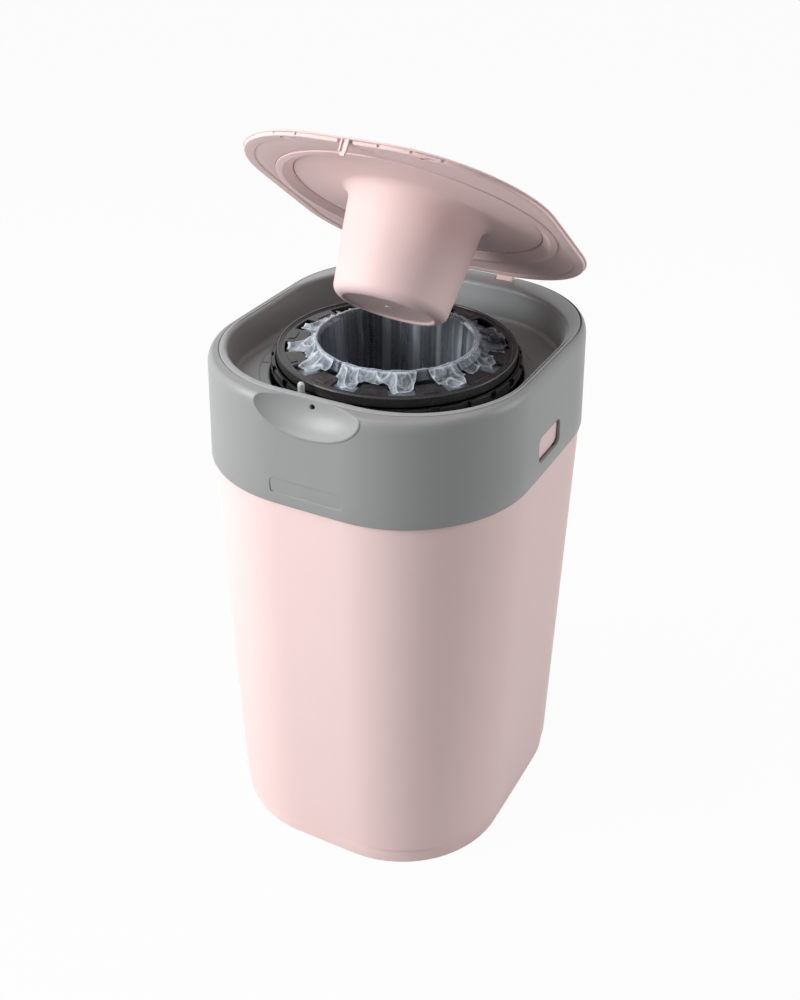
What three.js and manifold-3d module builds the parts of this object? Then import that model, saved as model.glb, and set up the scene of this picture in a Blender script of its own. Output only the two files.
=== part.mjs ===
// Nappy bin: a tub, a lift-off upper unit with a film cassette on a turntable,
// and a hinged lid whose dial carries a plunger cup. Millimetres, +Z up, front at -Y.
import * as THREE from 'three';
import { mergeVertices } from 'three/addons/utils/BufferGeometryUtils.js';
import Module from 'manifold-3d';

const wasm = await Module();
wasm.setup();

// Plan of the whole bin at the lower edge of the collar: a soft rectangle of tangent arcs.
const planHalfWidth = 132.6;
const planHalfDepth = 151.1;
const planFlat = 28.6;
const planSide = 5000;
const planSteps = 40;
const circleSteps = 30;
const filmSteps = 20;
const smallSteps = 8;
const rimSteps = 4;
const arcSteps = 2;

// Clearances.
const seat = 0.3;
const fit = 0.4;
const running = 0.8;
const overrun = 12;
const weld = 0.0001;

// Tub.
const shoulderZ = 355.7;
const tubSetback = 1.8;
const tubTaper = 5;
const tubWall = 2.5;
const bandHeight = 17;
const bandSetback = 1.7;
const footEdge = 3;
const footWidth = 8;
const undersideRise = 3;
const floorThickness = 2.6;
const floorFillet = 8;
const neckHeight = 36;
const neckTaper = 1.5;

// Collar shell.
const collarHeight = 84;
const collarTaper = 3.3;
const collarWall = 2.4;
const collarEdgeAcross = 4.6;
const collarEdgeDown = 9;
const rimBandSide = 8.6;
const rimBandFront = 15.6;
const rimBandBack = 8.7;
const ledgeThickness = 2.4;
const seamFlat = 31;

// Finger scoop, lid catch hole and bare badge recess in the front of the collar.
const scoopHalfWidth = 49;
const scoopReach = 21.5;
const scoopDepth = 26;
const scoopWall = 2.4;
const scoopSteps = 20;
const catchHoleRadius = 2;
const catchHoleDrop = 5.6;
const badgeLength = 61;
const badgeHeight = 12;
const badgeCorner = 3;
const badgeDepth = 0.5;
const badgeRise = 15;

// Latch windows and the sprung latch tongues of the tub.
const windowLength = 42;
const windowHeight = 22;
const windowCorner = 6;
const windowRise = 23.2;
const windowForward = 6.5;
const padMargin = 1.3;
const tongueMargin = 6.5;
const tongueRootRise = 1.6;
const tongueSlotGap = 0.8;

// Collar liner: flange, inner wall, deck and the well of the turntable.
const flangeThickness = 3;
const flangeSide = 5.4;
const flangeFront = 7.5;
const flangeBack = 23.4;
const openingFlat = 30.6;
const openingEdge = 2.5;
const linerWall = 2.4;
const linerDraft = 1.5;
const deckDrop = 28.8;
const deckFillet = 3;
const wellChamfer = 1;
const deckBorder = 18.2;
const deckFront = 12;
const deckStepWidth = 8.4;
const deckStepDrop = 0.8;
const wellDepth = 45.1;
const throatGap = 4;
const bossHeight = 6;
const bossRadius = 4.2;
const bossGap = 8;

// Turntable, cassette and film, all round one upright axis a little ahead of the opening's middle.
const axisForward = 3.5;
const turntableBandWidth = 3.8;
const turntableBandHeight = 7;
const turntableWall = 2;
const turntableFloor = 2.7;
const turntableHeight = 57.3;
const notchCount = 24;
const notchWidth = 7;
const notchDepth = 2.2;
const cassetteGap = 2.8;
const cassetteWall = 2.2;
const cassetteHeight = 58.8;
const troughWidth = 30.2;
const boreWall = 2.2;
const boreRise = 9.5;
const beadWidth = 1;
const beadHeight = 2.4;
const lipOverhang = 2.3;
const lipThickness = 3.3;
const lipSkirt = 4.4;
const lipLand = 4.5;
const tabCount = 12;
const tabFilmBand = 12.2;
const tabOuterWidth = 27;
const tabInnerWidth = 18;
const tabThickness = 2;
const tabCorner = 2.5;
const packGap = 3.2;
const packDrop = 7;
const filmSkin = 0.9;
const filmGap = 1.1;
const filmLegDrop = 14;
const filmLegWidth = 9;
const waistGap = 6.5;
const waistDrop = 27;
const knotNeckRadius = 4;
const knotNeckDrop = 29;
const knotRadius = 9;
const knotDrop = 8;
const tailDrop = 9;

// Gripper ring with its flexible fingers, and its screws.
const gripperLap = 2;
const gripperFlange = 13;
const gripperThickness = 3;
const fingerCount = 12;
const fingerTipRadius = 26;
const fingerDrop = 13;
const fingerThickness = 1.4;
const fingerGap = 3;
const screwCount = 4;
const screwHeadRadius = 3.2;
const screwHeadHeight = 2.2;
const screwRadius = 1.4;
const screwLength = 7.5;

// Click pawl beside the turntable.
const pawlAngle = 254;
const pawlGap = 2.8;
const pawlRadius = 2.6;
const pawlTopRise = 10.6;
const pawlNoseReach = 2.4;
const pawlNoseWidth = 4.4;
const pawlNoseTip = 2.4;
const pawlNoseHeight = 5;
const pawlPivotDrop = 24;
const pawlPivotRadius = 1.8;
const pawlPivotLength = 13;
const pawlSlotHalf = 3.4;
const pawlSwing = 5;
const bracketHalf = 8.5;
const bracketDepth = 9;
const bracketUp = 5;
const bracketDown = 4.5;

// Lid: top moulding, underside panel and hinge.
const lidGap = 0.7;
const lidRest = 2.9;
const lidOverhang = 4.5;
const lidFlat = 24.5;
const lidSideHeight = 3.6;
const lidSideEdge = 0.8;
const lidRoundAcross = 4;
const lidRoundUp = 3.8;
const lidDome = 6.6;
const lidSkin = 2.5;
const lidHoleEdge = 1.4;
const lidHoleSkirt = 3.8;
const panelThickness = 2;
const panelLift = 0.3;
const panelBorder = 11.3;
const panelFront = 15;
const ringWidth = 12.2;
const ringRise = 4.1;
const ringThickness = 2.2;
const clipSlotLength = 11;
const clipSlotWidth = 3;
const clipSlotInset = 9;
const clipSlotShares = [-0.4, 0.12, 0.48];
const hookHalfWidth = 3.6;
const hookThickness = 2.2;
const hookDrop = 8.4;
const hookNub = 0.9;
const hookNubRadius = 1.3;
const hingeBack = 3.9;
const hingeDrop = 2.8;
const hingeX = 28;
const knuckleRadius = 4.1;
const knuckleWidth = 14.6;
const knuckleClear = 0.7;
const lugWidth = 7;
const lugDepth = 5.9;
const pinRadius = 1.6;
const lidOpenDegrees = 36.1;

// Dial: plunger cup below, twist knob above.
const plungerDepth = 78.2;
const plungerGap = 16.6;
const plungerTaper = 6.6;
const plungerRound = 13;
const plungerWall = 2.5;
const plungerFlare = 8;
const plungerFlareDown = 12;
const plungerDimple = 1.2;
const dialRise = 4.7;
const dialStep = 1.9;
const dialFlangeWidth = 4;
const dialFlangeThickness = 1.5;
const dialPlate = 2.6;
const knobTop = 5.6;
const knobCrown = 1.3;
const knobSkin = 2.2;
const knobEdge = 1.6;
const wellEdgeLap = 1.7;
const wellSkirt = 5;
const handleWidth = 22;
const handleHeight = 13;
const handleRound = 6;

// Heights and places that follow from the sizes above.
const collarZ = shoulderZ + seat;
const rimZ = collarZ + collarHeight;
const flangeZ = rimZ + seat;
const ledgeZ = flangeZ - flangeThickness - seat;
const deckZ = rimZ - deckDrop + seat;
const wellFloorZ = deckZ - wellDepth;
const throatZ = wellFloorZ - linerWall;
const bossZ = throatZ - bossHeight;
const turntableZ = wellFloorZ + seat;
const cassetteZ = turntableZ + turntableFloor + seat;
const cassetteTopZ = cassetteZ + cassetteHeight;
const lipZ = cassetteTopZ + seat;
const beadZ = cassetteTopZ + boreRise;
const lidZ = rimZ + seat + lidGap;
const hingeY = planHalfDepth - rimBandBack - hingeBack;
const hingeZ = flangeZ - hingeDrop;
const bandInset = tubSetback + tubTaper + bandSetback;
const neckInset = collarWall + fit;
const plan = { halfWidth: planHalfWidth, front: -planHalfDepth, back: planHalfDepth, flat: planFlat };
const seamPlan = {
  halfWidth: planHalfWidth - rimBandSide,
  front: rimBandFront - planHalfDepth,
  back: planHalfDepth - rimBandBack,
  flat: seamFlat,
};
const openingPlan = {
  halfWidth: seamPlan.halfWidth - flangeSide,
  front: seamPlan.front + flangeFront,
  back: seamPlan.back - flangeBack,
  flat: openingFlat,
};
const lidPlan = {
  halfWidth: openingPlan.halfWidth + lidRest,
  front: seamPlan.front - lidOverhang,
  back: hingeY - lidGap - 2 * running,
  flat: lidFlat,
};

// Radii round the cassette's axis, worked inwards from the opening and from the lid's edge.
const cassetteY = (openingPlan.front + openingPlan.back) / 2 - axisForward;
const wellRadius = Math.min(openingPlan.halfWidth - deckBorder, cassetteY - openingPlan.front - deckFront);
const turntableRadius = wellRadius - 2 * running;
const cassetteRadius = turntableRadius - turntableBandWidth - cassetteGap;
const boreRadius = cassetteRadius - troughWidth;
const tabLength = troughWidth - tabFilmBand;
const throatRadius = boreRadius + throatGap;
const bossCircle = throatRadius + bossGap;
const gripperInner = boreRadius - gripperLap;
const gripperOuter = throatRadius + gripperFlange;
const fingerReach = gripperInner - fingerTipRadius;
const waistRadius = fingerTipRadius - waistGap;
const pawlCircle = turntableRadius + pawlGap;
const ringOuterRadius = Math.min(lidPlan.halfWidth - panelBorder, cassetteY - lidPlan.front - panelFront);
const ringInnerRadius = ringOuterRadius - ringWidth;
const plungerBottomRadius = boreRadius - plungerGap;
const plungerTopRadius = plungerBottomRadius + plungerTaper;
const wellEdgeRadius = plungerTopRadius - wellEdgeLap;

// Turns a closed geometry into a solid, with its faces pointing out.
function toSolid(geometry) {
  const bare = geometry.clone();
  bare.deleteAttribute('normal');
  bare.deleteAttribute('uv');
  const merged = mergeVertices(bare, weld);
  const spots = merged.attributes.position;
  const corners = [0, 1, 2].map(() => new THREE.Vector3());
  const faces = [];
  let volume = 0;
  for (let i = 0; i < merged.index.count; i += 3) {
    const face = [0, 1, 2].map((k) => merged.index.getX(i + k));
    if (new Set(face).size < 3) continue;
    corners.forEach((corner, k) => corner.fromBufferAttribute(spots, face[k]));
    volume += corners[0].dot(corners[1].clone().cross(corners[2]));
    faces.push(face);
  }
  const triVerts = Uint32Array.from(faces.flatMap((face) => (volume < 0 ? face.reverse() : face)));
  const vertProperties = Float32Array.from(spots.array);
  return new wasm.Manifold(new wasm.Mesh({ numProp: 3, vertProperties, triVerts }));
}

// Turns a solid back into a geometry with flat faces.
function toGeometry(solid) {
  const mesh = solid.getMesh();
  const geometry = new THREE.BufferGeometry();
  geometry.setAttribute('position', new THREE.BufferAttribute(Float32Array.from(mesh.vertProperties), 3));
  geometry.setIndex(Array.from(mesh.triVerts));
  const flat = geometry.toNonIndexed();
  flat.computeVertexNormals();
  return flat;
}

function join(first, ...rest) {
  return rest.reduce((whole, piece) => whole.add(piece), first);
}

function cut(first, ...rest) {
  return rest.reduce((whole, piece) => whole.subtract(piece), first);
}

// Soft rectangle, drawn in by an inset: side arcs and corner arcs that meet tangentially,
// with its points where rays at equal angles meet it. The corners start where the flat ends.
function outline(shape, inset = 0) {
  const halfWidth = shape.halfWidth - inset;
  const halfDepth = (shape.back - shape.front) / 2 - inset;
  const centreY = (shape.back + shape.front) / 2;
  const side = planSide - inset;
  const corner = halfWidth - shape.flat;
  const right = new THREE.Vector2(halfWidth - side, 0);
  const rear = new THREE.Vector2(0, halfDepth - side);
  const across = rear.clone().sub(right);
  const reach = Math.sqrt((side - corner) ** 2 - across.lengthSq() / 4);
  const centre = right.clone().add(rear).multiplyScalar(0.5);
  centre.add(new THREE.Vector2(-across.y, across.x).setLength(reach));
  const tangent = (hub) => centre.clone().sub(hub).setLength(side).add(hub).angle();
  const from = tangent(right);
  const to = tangent(rear);
  return Array.from({ length: planSteps }, (_, i) => {
    const turn = (2 * Math.PI * i) / planSteps;
    const ray = new THREE.Vector2(Math.abs(Math.cos(turn)), Math.abs(Math.sin(turn)));
    const angle = ray.angle();
    const hub = angle < from ? right : angle > to ? rear : centre;
    const radius = hub === centre ? corner : side;
    const along = ray.dot(hub);
    const distance = along + Math.sqrt(radius ** 2 - hub.lengthSq() + along ** 2);
    return new THREE.Vector2(distance * Math.cos(turn), distance * Math.sin(turn) + centreY);
  });
}

// Circle round the cassette's axis with as many points as an outline.
function circle(radius) {
  return Array.from({ length: planSteps }, (_, i) => {
    const turn = (2 * Math.PI * i) / planSteps;
    return new THREE.Vector2(radius * Math.cos(turn), cassetteY + radius * Math.sin(turn));
  });
}

function between(a, b, share) {
  return a.map((p, i) => p.clone().lerp(b[i], share));
}

function level(points, z) {
  return points.map((p) => new THREE.Vector3(p.x, p.y, z));
}

// Skin through a list of levels: up the outside, then down the inside. An open list is
// closed by flat ends at its first and last level, and a ring-shaped one meets itself.
function loft(levels, ringShaped) {
  const count = levels[0].length;
  const spots = levels.flat();
  const index = [];
  const rows = ringShaped ? levels.length : levels.length - 1;
  for (let row = 0; row < rows; row += 1) {
    const low = row * count;
    const high = ((row + 1) % levels.length) * count;
    for (let i = 0; i < count; i += 1) {
      const next = (i + 1) % count;
      index.push(low + i, low + next, high + next, low + i, high + next, high + i);
    }
  }
  if (!ringShaped) {
    [levels[0], levels[levels.length - 1]].forEach((ring, end) => {
      const hub = spots.length;
      const start = end * (levels.length - 1) * count;
      const middle = new THREE.Vector3();
      ring.forEach((p) => middle.addScaledVector(p, 1 / count));
      spots.push(middle);
      for (let i = 0; i < count; i += 1) {
        const next = (i + 1) % count;
        if (end) index.push(hub, start + i, start + next);
        else index.push(hub, start + next, start + i);
      }
    });
  }
  const geometry = new THREE.BufferGeometry().setFromPoints(spots);
  geometry.setIndex(index);
  return toSolid(geometry);
}

// Revolves [radius, height] points round the upright axis.
function revolve(points, steps = circleSteps) {
  const lathe = new THREE.LatheGeometry(points.map(([r, z]) => new THREE.Vector2(r, z)), steps);
  return toSolid(lathe.rotateX(Math.PI / 2));
}

function ringOf(points, steps) {
  return revolve([...points, points[0]], steps);
}

// Points of an arc from one angle to another, ends included, with separate radii.
function arc(x, z, rx, rz, from, to, steps = arcSteps) {
  return Array.from({ length: steps + 1 }, (_, i) => {
    const angle = THREE.MathUtils.degToRad(from + ((to - from) * i) / steps);
    return [x + rx * Math.cos(angle), z + rz * Math.sin(angle)];
  });
}

function block([x0, y0, z0], [x1, y1, z1]) {
  const box = new THREE.BoxGeometry(x1 - x0, y1 - y0, z1 - z0);
  return toSolid(box.translate((x0 + x1) / 2, (y0 + y1) / 2, (z0 + z1) / 2));
}

function post(radius, z0, z1, x = 0, y = 0, steps = smallSteps) {
  const rod = new THREE.CylinderGeometry(radius, radius, z1 - z0, steps);
  return toSolid(rod.rotateX(Math.PI / 2).translate(x, y, (z0 + z1) / 2));
}

// Rod along X between two places.
function rodX(radius, x0, x1, y, z, steps = smallSteps) {
  const rod = new THREE.CylinderGeometry(radius, radius, x1 - x0, steps);
  return toSolid(rod.rotateZ(Math.PI / 2).translate((x0 + x1) / 2, y, z));
}

// Rod along Y between two places.
function rodY(radius, y0, y1, x, z, steps = smallSteps) {
  return toSolid(new THREE.CylinderGeometry(radius, radius, y1 - y0, steps).translate(x, (y0 + y1) / 2, z));
}

function roundedShape(width, height, radius) {
  const x = width / 2 - radius;
  const y = height / 2 - radius;
  const shape = new THREE.Shape();
  shape.absarc(x, y, radius, 0, Math.PI / 2);
  shape.absarc(-x, y, radius, Math.PI / 2, Math.PI);
  shape.absarc(-x, -y, radius, Math.PI, 1.5 * Math.PI);
  shape.absarc(x, -y, radius, 1.5 * Math.PI, 2 * Math.PI);
  shape.closePath();
  return shape;
}

function slab(shape, depth, curveSegments = arcSteps) {
  return new THREE.ExtrudeGeometry(shape, { depth, bevelEnabled: false, curveSegments });
}

// Rounded plate standing in the YZ plane at the latches, from one X to another.
function plateX(width, height, radius, x0, x1, z) {
  const geometry = slab(roundedShape(width, height, radius), x1 - x0);
  return toSolid(geometry.rotateX(Math.PI / 2).rotateZ(Math.PI / 2).translate(x0, -windowForward, z));
}

function mirrorX(solid) {
  return solid.mirror([1, 0, 0]);
}

function roundCassette(solid) {
  return solid.translate([0, cassetteY, 0]);
}

function spin(solid, degrees) {
  return solid.rotate([0, 0, degrees]);
}

function repeat(count, make) {
  return Array.from({ length: count }, (_, i) => spin(make(i), (360 * i) / count));
}

function collarInset(z) {
  return (collarTaper * (z - collarZ)) / collarHeight;
}

// Pink tub: recessed base band and foot rim, tapering wall, shoulder and neck.
function makeTub() {
  const plans = (list) => list.map(([inset, z]) => level(outline(plan, inset), z));
  const footInset = bandInset + footEdge + footWidth;
  const floorZ = undersideRise + floorThickness;
  const wallInset = bandInset - bandSetback;
  const neckZ = shoulderZ + neckHeight;
  const shell = loft(plans([
    [footInset + undersideRise, undersideRise],
    [footInset, 0],
    ...arc(bandInset + footEdge, footEdge, footEdge, footEdge, -90, -180),
    [bandInset, bandHeight],
    [wallInset, bandHeight + bandSetback],
    [tubSetback, shoulderZ],
    [neckInset, shoulderZ],
    [neckInset + neckTaper, neckZ],
    [neckInset + neckTaper + tubWall, neckZ],
    [neckInset + tubWall, shoulderZ],
    [tubSetback + tubWall, shoulderZ - 2 * tubWall],
    [wallInset + tubWall, bandHeight + bandSetback],
    [bandInset + tubWall, bandHeight],
    ...arc(bandInset + tubWall + floorFillet, floorZ + floorFillet, floorFillet, floorFillet, 180, 270),
  ]), false);
  const slotHalf = windowLength / 2 - padMargin + tongueSlotGap;
  const slot = block(
    [planHalfWidth - neckInset - neckTaper - 2 * tubWall, -windowForward - slotHalf, shoulderZ + tongueRootRise],
    [planHalfWidth, slotHalf - windowForward, neckZ + overrun],
  );
  return cut(shell, slot, mirrorX(slot));
}

// Sprung latch tongue with the press pad that shows in the collar's window.
function makeLatch() {
  const rootZ = shoulderZ + tongueRootRise + seat;
  const tipZ = shoulderZ + neckHeight;
  const faceX = planHalfWidth - neckInset - neckTaper;
  const padX = planHalfWidth - collarInset(collarZ + windowRise) - collarWall - seat;
  const height = tipZ - rootZ;
  const tongue = plateX(
    windowLength - 2 * tongueMargin, height, padMargin, faceX - tubWall, faceX, rootZ + height / 2,
  );
  const pad = plateX(
    windowLength - 2 * padMargin, windowHeight - 2 * padMargin, windowCorner - padMargin,
    faceX - tubWall / 2, padX, collarZ + windowRise,
  );
  return join(tongue, pad);
}

function scoopForm(extra) {
  const form = new THREE.SphereGeometry(1, scoopSteps, scoopSteps / 2).rotateX(Math.PI / 2);
  form.scale(scoopHalfWidth + extra, scoopReach + extra, scoopDepth + extra);
  return toSolid(form.translate(0, seamPlan.front - scoopReach, rimZ));
}

function hingeSlots() {
  const half = knuckleWidth / 2 + knuckleClear;
  const slot = block(
    [hingeX - half, hingeY - knuckleRadius - knuckleClear, hingeZ - knuckleRadius - knuckleClear],
    [hingeX + half, planHalfDepth + overrun, rimZ + overrun],
  );
  return [slot, mirrorX(slot)];
}

// Grey collar shell with its rounded rim, inner ledge, finger scoop and latch windows.
function makeCollarShell() {
  const plans = (list) => list.map(([inset, z]) => level(outline(plan, inset), z));
  const ledgeLowZ = ledgeZ - ledgeThickness;
  const ledge = outline(seamPlan, flangeSide - linerWall - fit);
  const edgeStart = rimZ - collarEdgeDown;
  const edgeX = collarInset(edgeStart) + collarEdgeAcross;
  const shell = loft([
    ...plans([[0, collarZ], ...arc(edgeX, edgeStart, collarEdgeAcross, collarEdgeDown, 180, 90, rimSteps)]),
    level(outline(seamPlan), rimZ),
    level(outline(seamPlan), ledgeZ),
    level(ledge, ledgeZ),
    level(ledge, ledgeLowZ),
    ...plans([
      [collarInset(ledgeLowZ) + 2 * collarWall, ledgeLowZ],
      [collarInset(ledgeLowZ) + collarWall, ledgeLowZ - collarWall],
      [collarWall, collarZ],
    ]),
  ], true);
  const core = loft(plans([
    [collarWall / 2, collarZ],
    [collarInset(edgeStart) + collarWall / 2, edgeStart],
    [collarInset(edgeStart) + collarWall, ledgeZ],
  ]), false);
  const pan = scoopForm(scoopWall).intersect(core);
  const catchHole = rodY(
    catchHoleRadius, seamPlan.front - scoopReach, seamPlan.front + scoopWall, 0, rimZ - catchHoleDrop,
  );
  const window = plateX(
    windowLength, windowHeight, windowCorner,
    planHalfWidth - overrun, planHalfWidth + overrun, collarZ + windowRise,
  );
  const badgeFace = collarInset(collarZ + badgeRise) + badgeDepth - planHalfDepth;
  const badge = toSolid(slab(roundedShape(badgeLength, badgeHeight, badgeCorner), overrun)
    .rotateX(Math.PI / 2).translate(0, badgeFace, collarZ + badgeRise));
  const lugHalf = knuckleWidth / 2 + knuckleClear + lugWidth + fit;
  const lugRoom = block(
    [hingeX - lugHalf, hingeY - knuckleRadius - overrun, hingeZ - knuckleRadius - 2 * linerWall],
    [hingeX + lugHalf, seamPlan.back - fit, ledgeZ + fit],
  );
  return cut(
    join(shell, pan), scoopForm(0), catchHole, window, mirrorX(window), badge,
    lugRoom, mirrorX(lugRoom), ...hingeSlots(),
  );
}

// Grey liner: one skin from the rounded-rectangular flange to the round well.
function makeLiner() {
  const opening = (inset) => outline(openingPlan, inset);
  const round = (radius, z) => level(circle(radius), z);
  const flangeLowZ = flangeZ - flangeThickness;
  const seam = outline(seamPlan, fit);
  const edge = arc(-openingEdge, flangeZ - openingEdge, openingEdge, openingEdge, 90, 0);
  const fillet = arc(linerDraft + deckFillet, deckZ + deckFillet, deckFillet, deckFillet, 180, 270);
  const skin = loft([
    level(seam, flangeLowZ),
    level(seam, flangeZ),
    ...edge.map(([inset, z]) => level(opening(inset), z)),
    ...fillet.map(([inset, z]) => level(opening(inset), z)),
    round(wellRadius + deckStepWidth, deckZ),
    round(wellRadius + deckStepWidth - deckStepDrop, deckZ - deckStepDrop),
    round(wellRadius + wellChamfer, deckZ - deckStepDrop),
    round(wellRadius, deckZ - deckStepDrop - wellChamfer),
    round(wellRadius, wellFloorZ),
    round(throatRadius, wellFloorZ),
    round(throatRadius, throatZ),
    round(wellRadius + linerWall, throatZ),
    round(wellRadius + linerWall, deckZ - linerWall),
    level(opening(linerDraft - linerWall), deckZ - linerWall),
    level(opening(-linerWall), flangeLowZ),
  ], true);
  const lugHalf = knuckleWidth / 2 + knuckleClear + lugWidth;
  const lugs = block(
    [hingeX - lugHalf, hingeY - knuckleRadius - linerWall, flangeLowZ - lugDepth],
    [hingeX + lugHalf, seamPlan.back - 2 * running, flangeLowZ + seat],
  );
  const pinHole = rodX(pinRadius + seat, hingeX - lugHalf - fit, hingeX + lugHalf + fit, hingeY, hingeZ);
  const bosses = repeat(screwCount, () => post(bossRadius, bossZ, throatZ + seat, bossCircle))
    .map((boss) => roundCassette(spin(boss, 180 / screwCount)));
  const cores = repeat(screwCount, () => post(screwRadius + seat, bossZ - fit, throatZ, bossCircle))
    .map((core) => roundCassette(spin(core, 180 / screwCount)));
  const pivotZ = deckZ - pawlPivotDrop + 2 * bracketUp;
  const atPawl = (solid) => roundCassette(spin(solid, pawlAngle));
  const bracket = atPawl(block(
    [wellRadius + linerWall / 2, -bracketHalf, pivotZ - bracketDown],
    [wellRadius + bracketDepth, bracketHalf, pivotZ + bracketUp],
  ));
  const slot = atPawl(block(
    [wellRadius - linerWall, -pawlSlotHalf, pivotZ - pawlSlotHalf],
    [pawlCircle + pawlRadius + pawlSwing / 2, pawlSlotHalf, deckZ + overrun],
  ));
  const pivotHole = atPawl(rodY(
    pawlPivotRadius + seat, -pawlPivotLength / 2 - seat, pawlPivotLength / 2 + seat, pawlCircle, pivotZ,
  ));
  return cut(
    join(skin, lugs, mirrorX(lugs), bracket, ...bosses),
    ...hingeSlots(), pinHole, mirrorX(pinHole), ...cores, slot, pivotHole,
  );
}

// Black turntable ring that carries the cassette, with ratchet notches in its top band.
function makeTurntable() {
  const wallRadius = turntableRadius - turntableBandWidth / 2;
  const topZ = turntableZ + turntableHeight;
  const bandZ = topZ - turntableBandHeight;
  const innerRadius = turntableRadius - turntableBandWidth;
  const ring = ringOf([
    [throatRadius, turntableZ], [wallRadius, turntableZ], [wallRadius, bandZ - turntableBandWidth / 2],
    [turntableRadius, bandZ], [turntableRadius, topZ], [innerRadius, topZ],
    [innerRadius, turntableZ + turntableFloor], [throatRadius, turntableZ + turntableFloor],
  ]);
  const notches = repeat(notchCount, () => block(
    [turntableRadius - notchDepth, -notchWidth / 2, bandZ + turntableWall],
    [turntableRadius + overrun, notchWidth / 2, topZ + overrun],
  )).map((notch) => spin(notch, pawlAngle));
  return cut(ring, ...notches);
}

// Cassette tub: a ring-shaped trough with a beaded bore tube that the film runs over.
function makeCassetteTub() {
  const innerRadius = cassetteRadius - cassetteWall;
  const tubeRadius = boreRadius + boreWall;
  const floorZ = cassetteZ + cassetteWall;
  return ringOf([
    [boreRadius, cassetteZ], [cassetteRadius, cassetteZ], [cassetteRadius, cassetteTopZ],
    [innerRadius, cassetteTopZ], [innerRadius, floorZ], [tubeRadius, floorZ],
    [tubeRadius, beadZ - beadHeight], [tubeRadius + beadWidth, beadZ - beadHeight / 2],
    [tubeRadius, beadZ], [boreRadius, beadZ],
  ]);
}

// Cassette cover: a lip with twelve tabs that hold the film pack down.
function makeCassetteCover() {
  const lipRadius = cassetteRadius + lipOverhang;
  const landRadius = cassetteRadius - lipLand;
  const lip = ringOf([
    [cassetteRadius + fit, lipZ - lipSkirt], [lipRadius, lipZ - lipSkirt], [lipRadius, lipZ + lipThickness / 2],
    [lipRadius - lipThickness / 2, lipZ + lipThickness], [lipRadius - lipOverhang, lipZ + lipThickness],
    [landRadius, lipZ + tabThickness], [landRadius, lipZ], [cassetteRadius + fit, lipZ],
  ]);
  const tab = new THREE.Shape();
  const tipX = landRadius + lipLand / 2 - tabLength;
  tab.moveTo(landRadius + lipLand / 2, -tabOuterWidth / 2);
  tab.lineTo(landRadius + lipLand / 2, tabOuterWidth / 2);
  tab.lineTo(tipX + tabCorner, tabInnerWidth / 2);
  tab.lineTo(tipX, tabInnerWidth / 2 - tabCorner);
  tab.lineTo(tipX, tabCorner - tabInnerWidth / 2);
  tab.lineTo(tipX + tabCorner, -tabInnerWidth / 2);
  tab.closePath();
  const tabs = repeat(tabCount, () => toSolid(slab(tab, tabThickness).translate(0, 0, lipZ)));
  return join(lip, ...tabs.map((one) => spin(one, 180 / tabCount)));
}

// Unused film, pleated into the trough.
function makeFilmPack() {
  const inner = boreRadius + boreWall + packGap;
  const outer = cassetteRadius - cassetteWall - packGap / 2;
  const low = cassetteZ + cassetteWall + seat;
  const high = cassetteTopZ - packDrop;
  return ringOf([
    [inner, low], [outer, low], [outer, high - packGap], [outer - packGap, high],
    [inner + packGap, high], [inner, high - packGap],
  ], filmSteps);
}

// Film drawn over the bead, down the bore, through the gripper and knotted below.
function makeFilmTube() {
  const hang = boreRadius - filmGap;
  const crest = boreRadius + boreWall / 2;
  const low = cassetteZ + cassetteWall;
  const waistZ = cassetteZ - waistDrop;
  const neckZ = waistZ - knotNeckDrop;
  const knotZ = neckZ - knotDrop;
  const legX = crest + filmLegWidth - boreWall;
  return revolve([
    [0, knotZ - tailDrop], [knotRadius - knotNeckRadius / 2, knotZ - tailDrop / 2], [knotRadius, knotZ],
    [knotNeckRadius, neckZ], [waistRadius / 1.5, waistZ - knotNeckDrop / 2], [waistRadius + filmSkin, waistZ],
    [hang - floorFillet, low - floorFillet], [hang, low],
    [hang, beadZ - beadHeight], [hang + filmGap / 2, beadZ], [crest, beadZ + filmSkin],
    [crest + boreWall + beadWidth, beadZ], [legX - filmSkin, beadZ - filmLegDrop / 2],
    [legX - filmSkin, beadZ - filmLegDrop], [legX, beadZ - filmLegDrop], [legX, beadZ - filmLegDrop / 2],
    [crest + boreWall + beadWidth + filmSkin, beadZ + filmSkin / 2], [crest, beadZ + 2 * filmSkin],
    [hang + filmGap / 2 - filmSkin, beadZ + filmSkin], [hang - filmSkin, beadZ - beadHeight],
    [hang - filmSkin, low], [hang - floorFillet - filmSkin, low - floorFillet + filmSkin / 2],
    [waistRadius, waistZ + filmSkin], [waistRadius / 1.5 - filmSkin, waistZ - knotNeckDrop / 2],
    [0, neckZ + filmSkin],
  ], filmSteps);
}

// Gripper ring: flexible fingers slope in and down to hold the twisted film.
function makeGripper() {
  const topZ = bossZ - seat;
  const lowZ = topZ - gripperThickness;
  const plate = ringOf([
    [gripperInner, lowZ], [gripperOuter, lowZ], [gripperOuter, topZ], [gripperInner, topZ],
  ]);
  const half = (radius) => (Math.PI * radius) / fingerCount - fingerGap / 2;
  const tipRadius = gripperInner - fingerReach;
  const rootRadius = gripperInner + fingerThickness;
  const shape = new THREE.Shape();
  shape.moveTo(0, -half(rootRadius));
  shape.lineTo(0, half(rootRadius));
  shape.lineTo(tipRadius - rootRadius, half(tipRadius));
  shape.lineTo(tipRadius - rootRadius, -half(tipRadius));
  shape.closePath();
  const slope = Math.atan2(fingerDrop, fingerReach);
  const fingers = repeat(fingerCount, () => toSolid(slab(shape, fingerThickness)
    .rotateY(-slope).translate(rootRadius, 0, lowZ + fingerThickness / 2)));
  const holes = repeat(screwCount, () => post(screwRadius + seat, lowZ - fit, topZ + fit, bossCircle))
    .map((hole) => spin(hole, 180 / screwCount));
  return cut(join(plate, ...fingers), ...holes);
}

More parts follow.
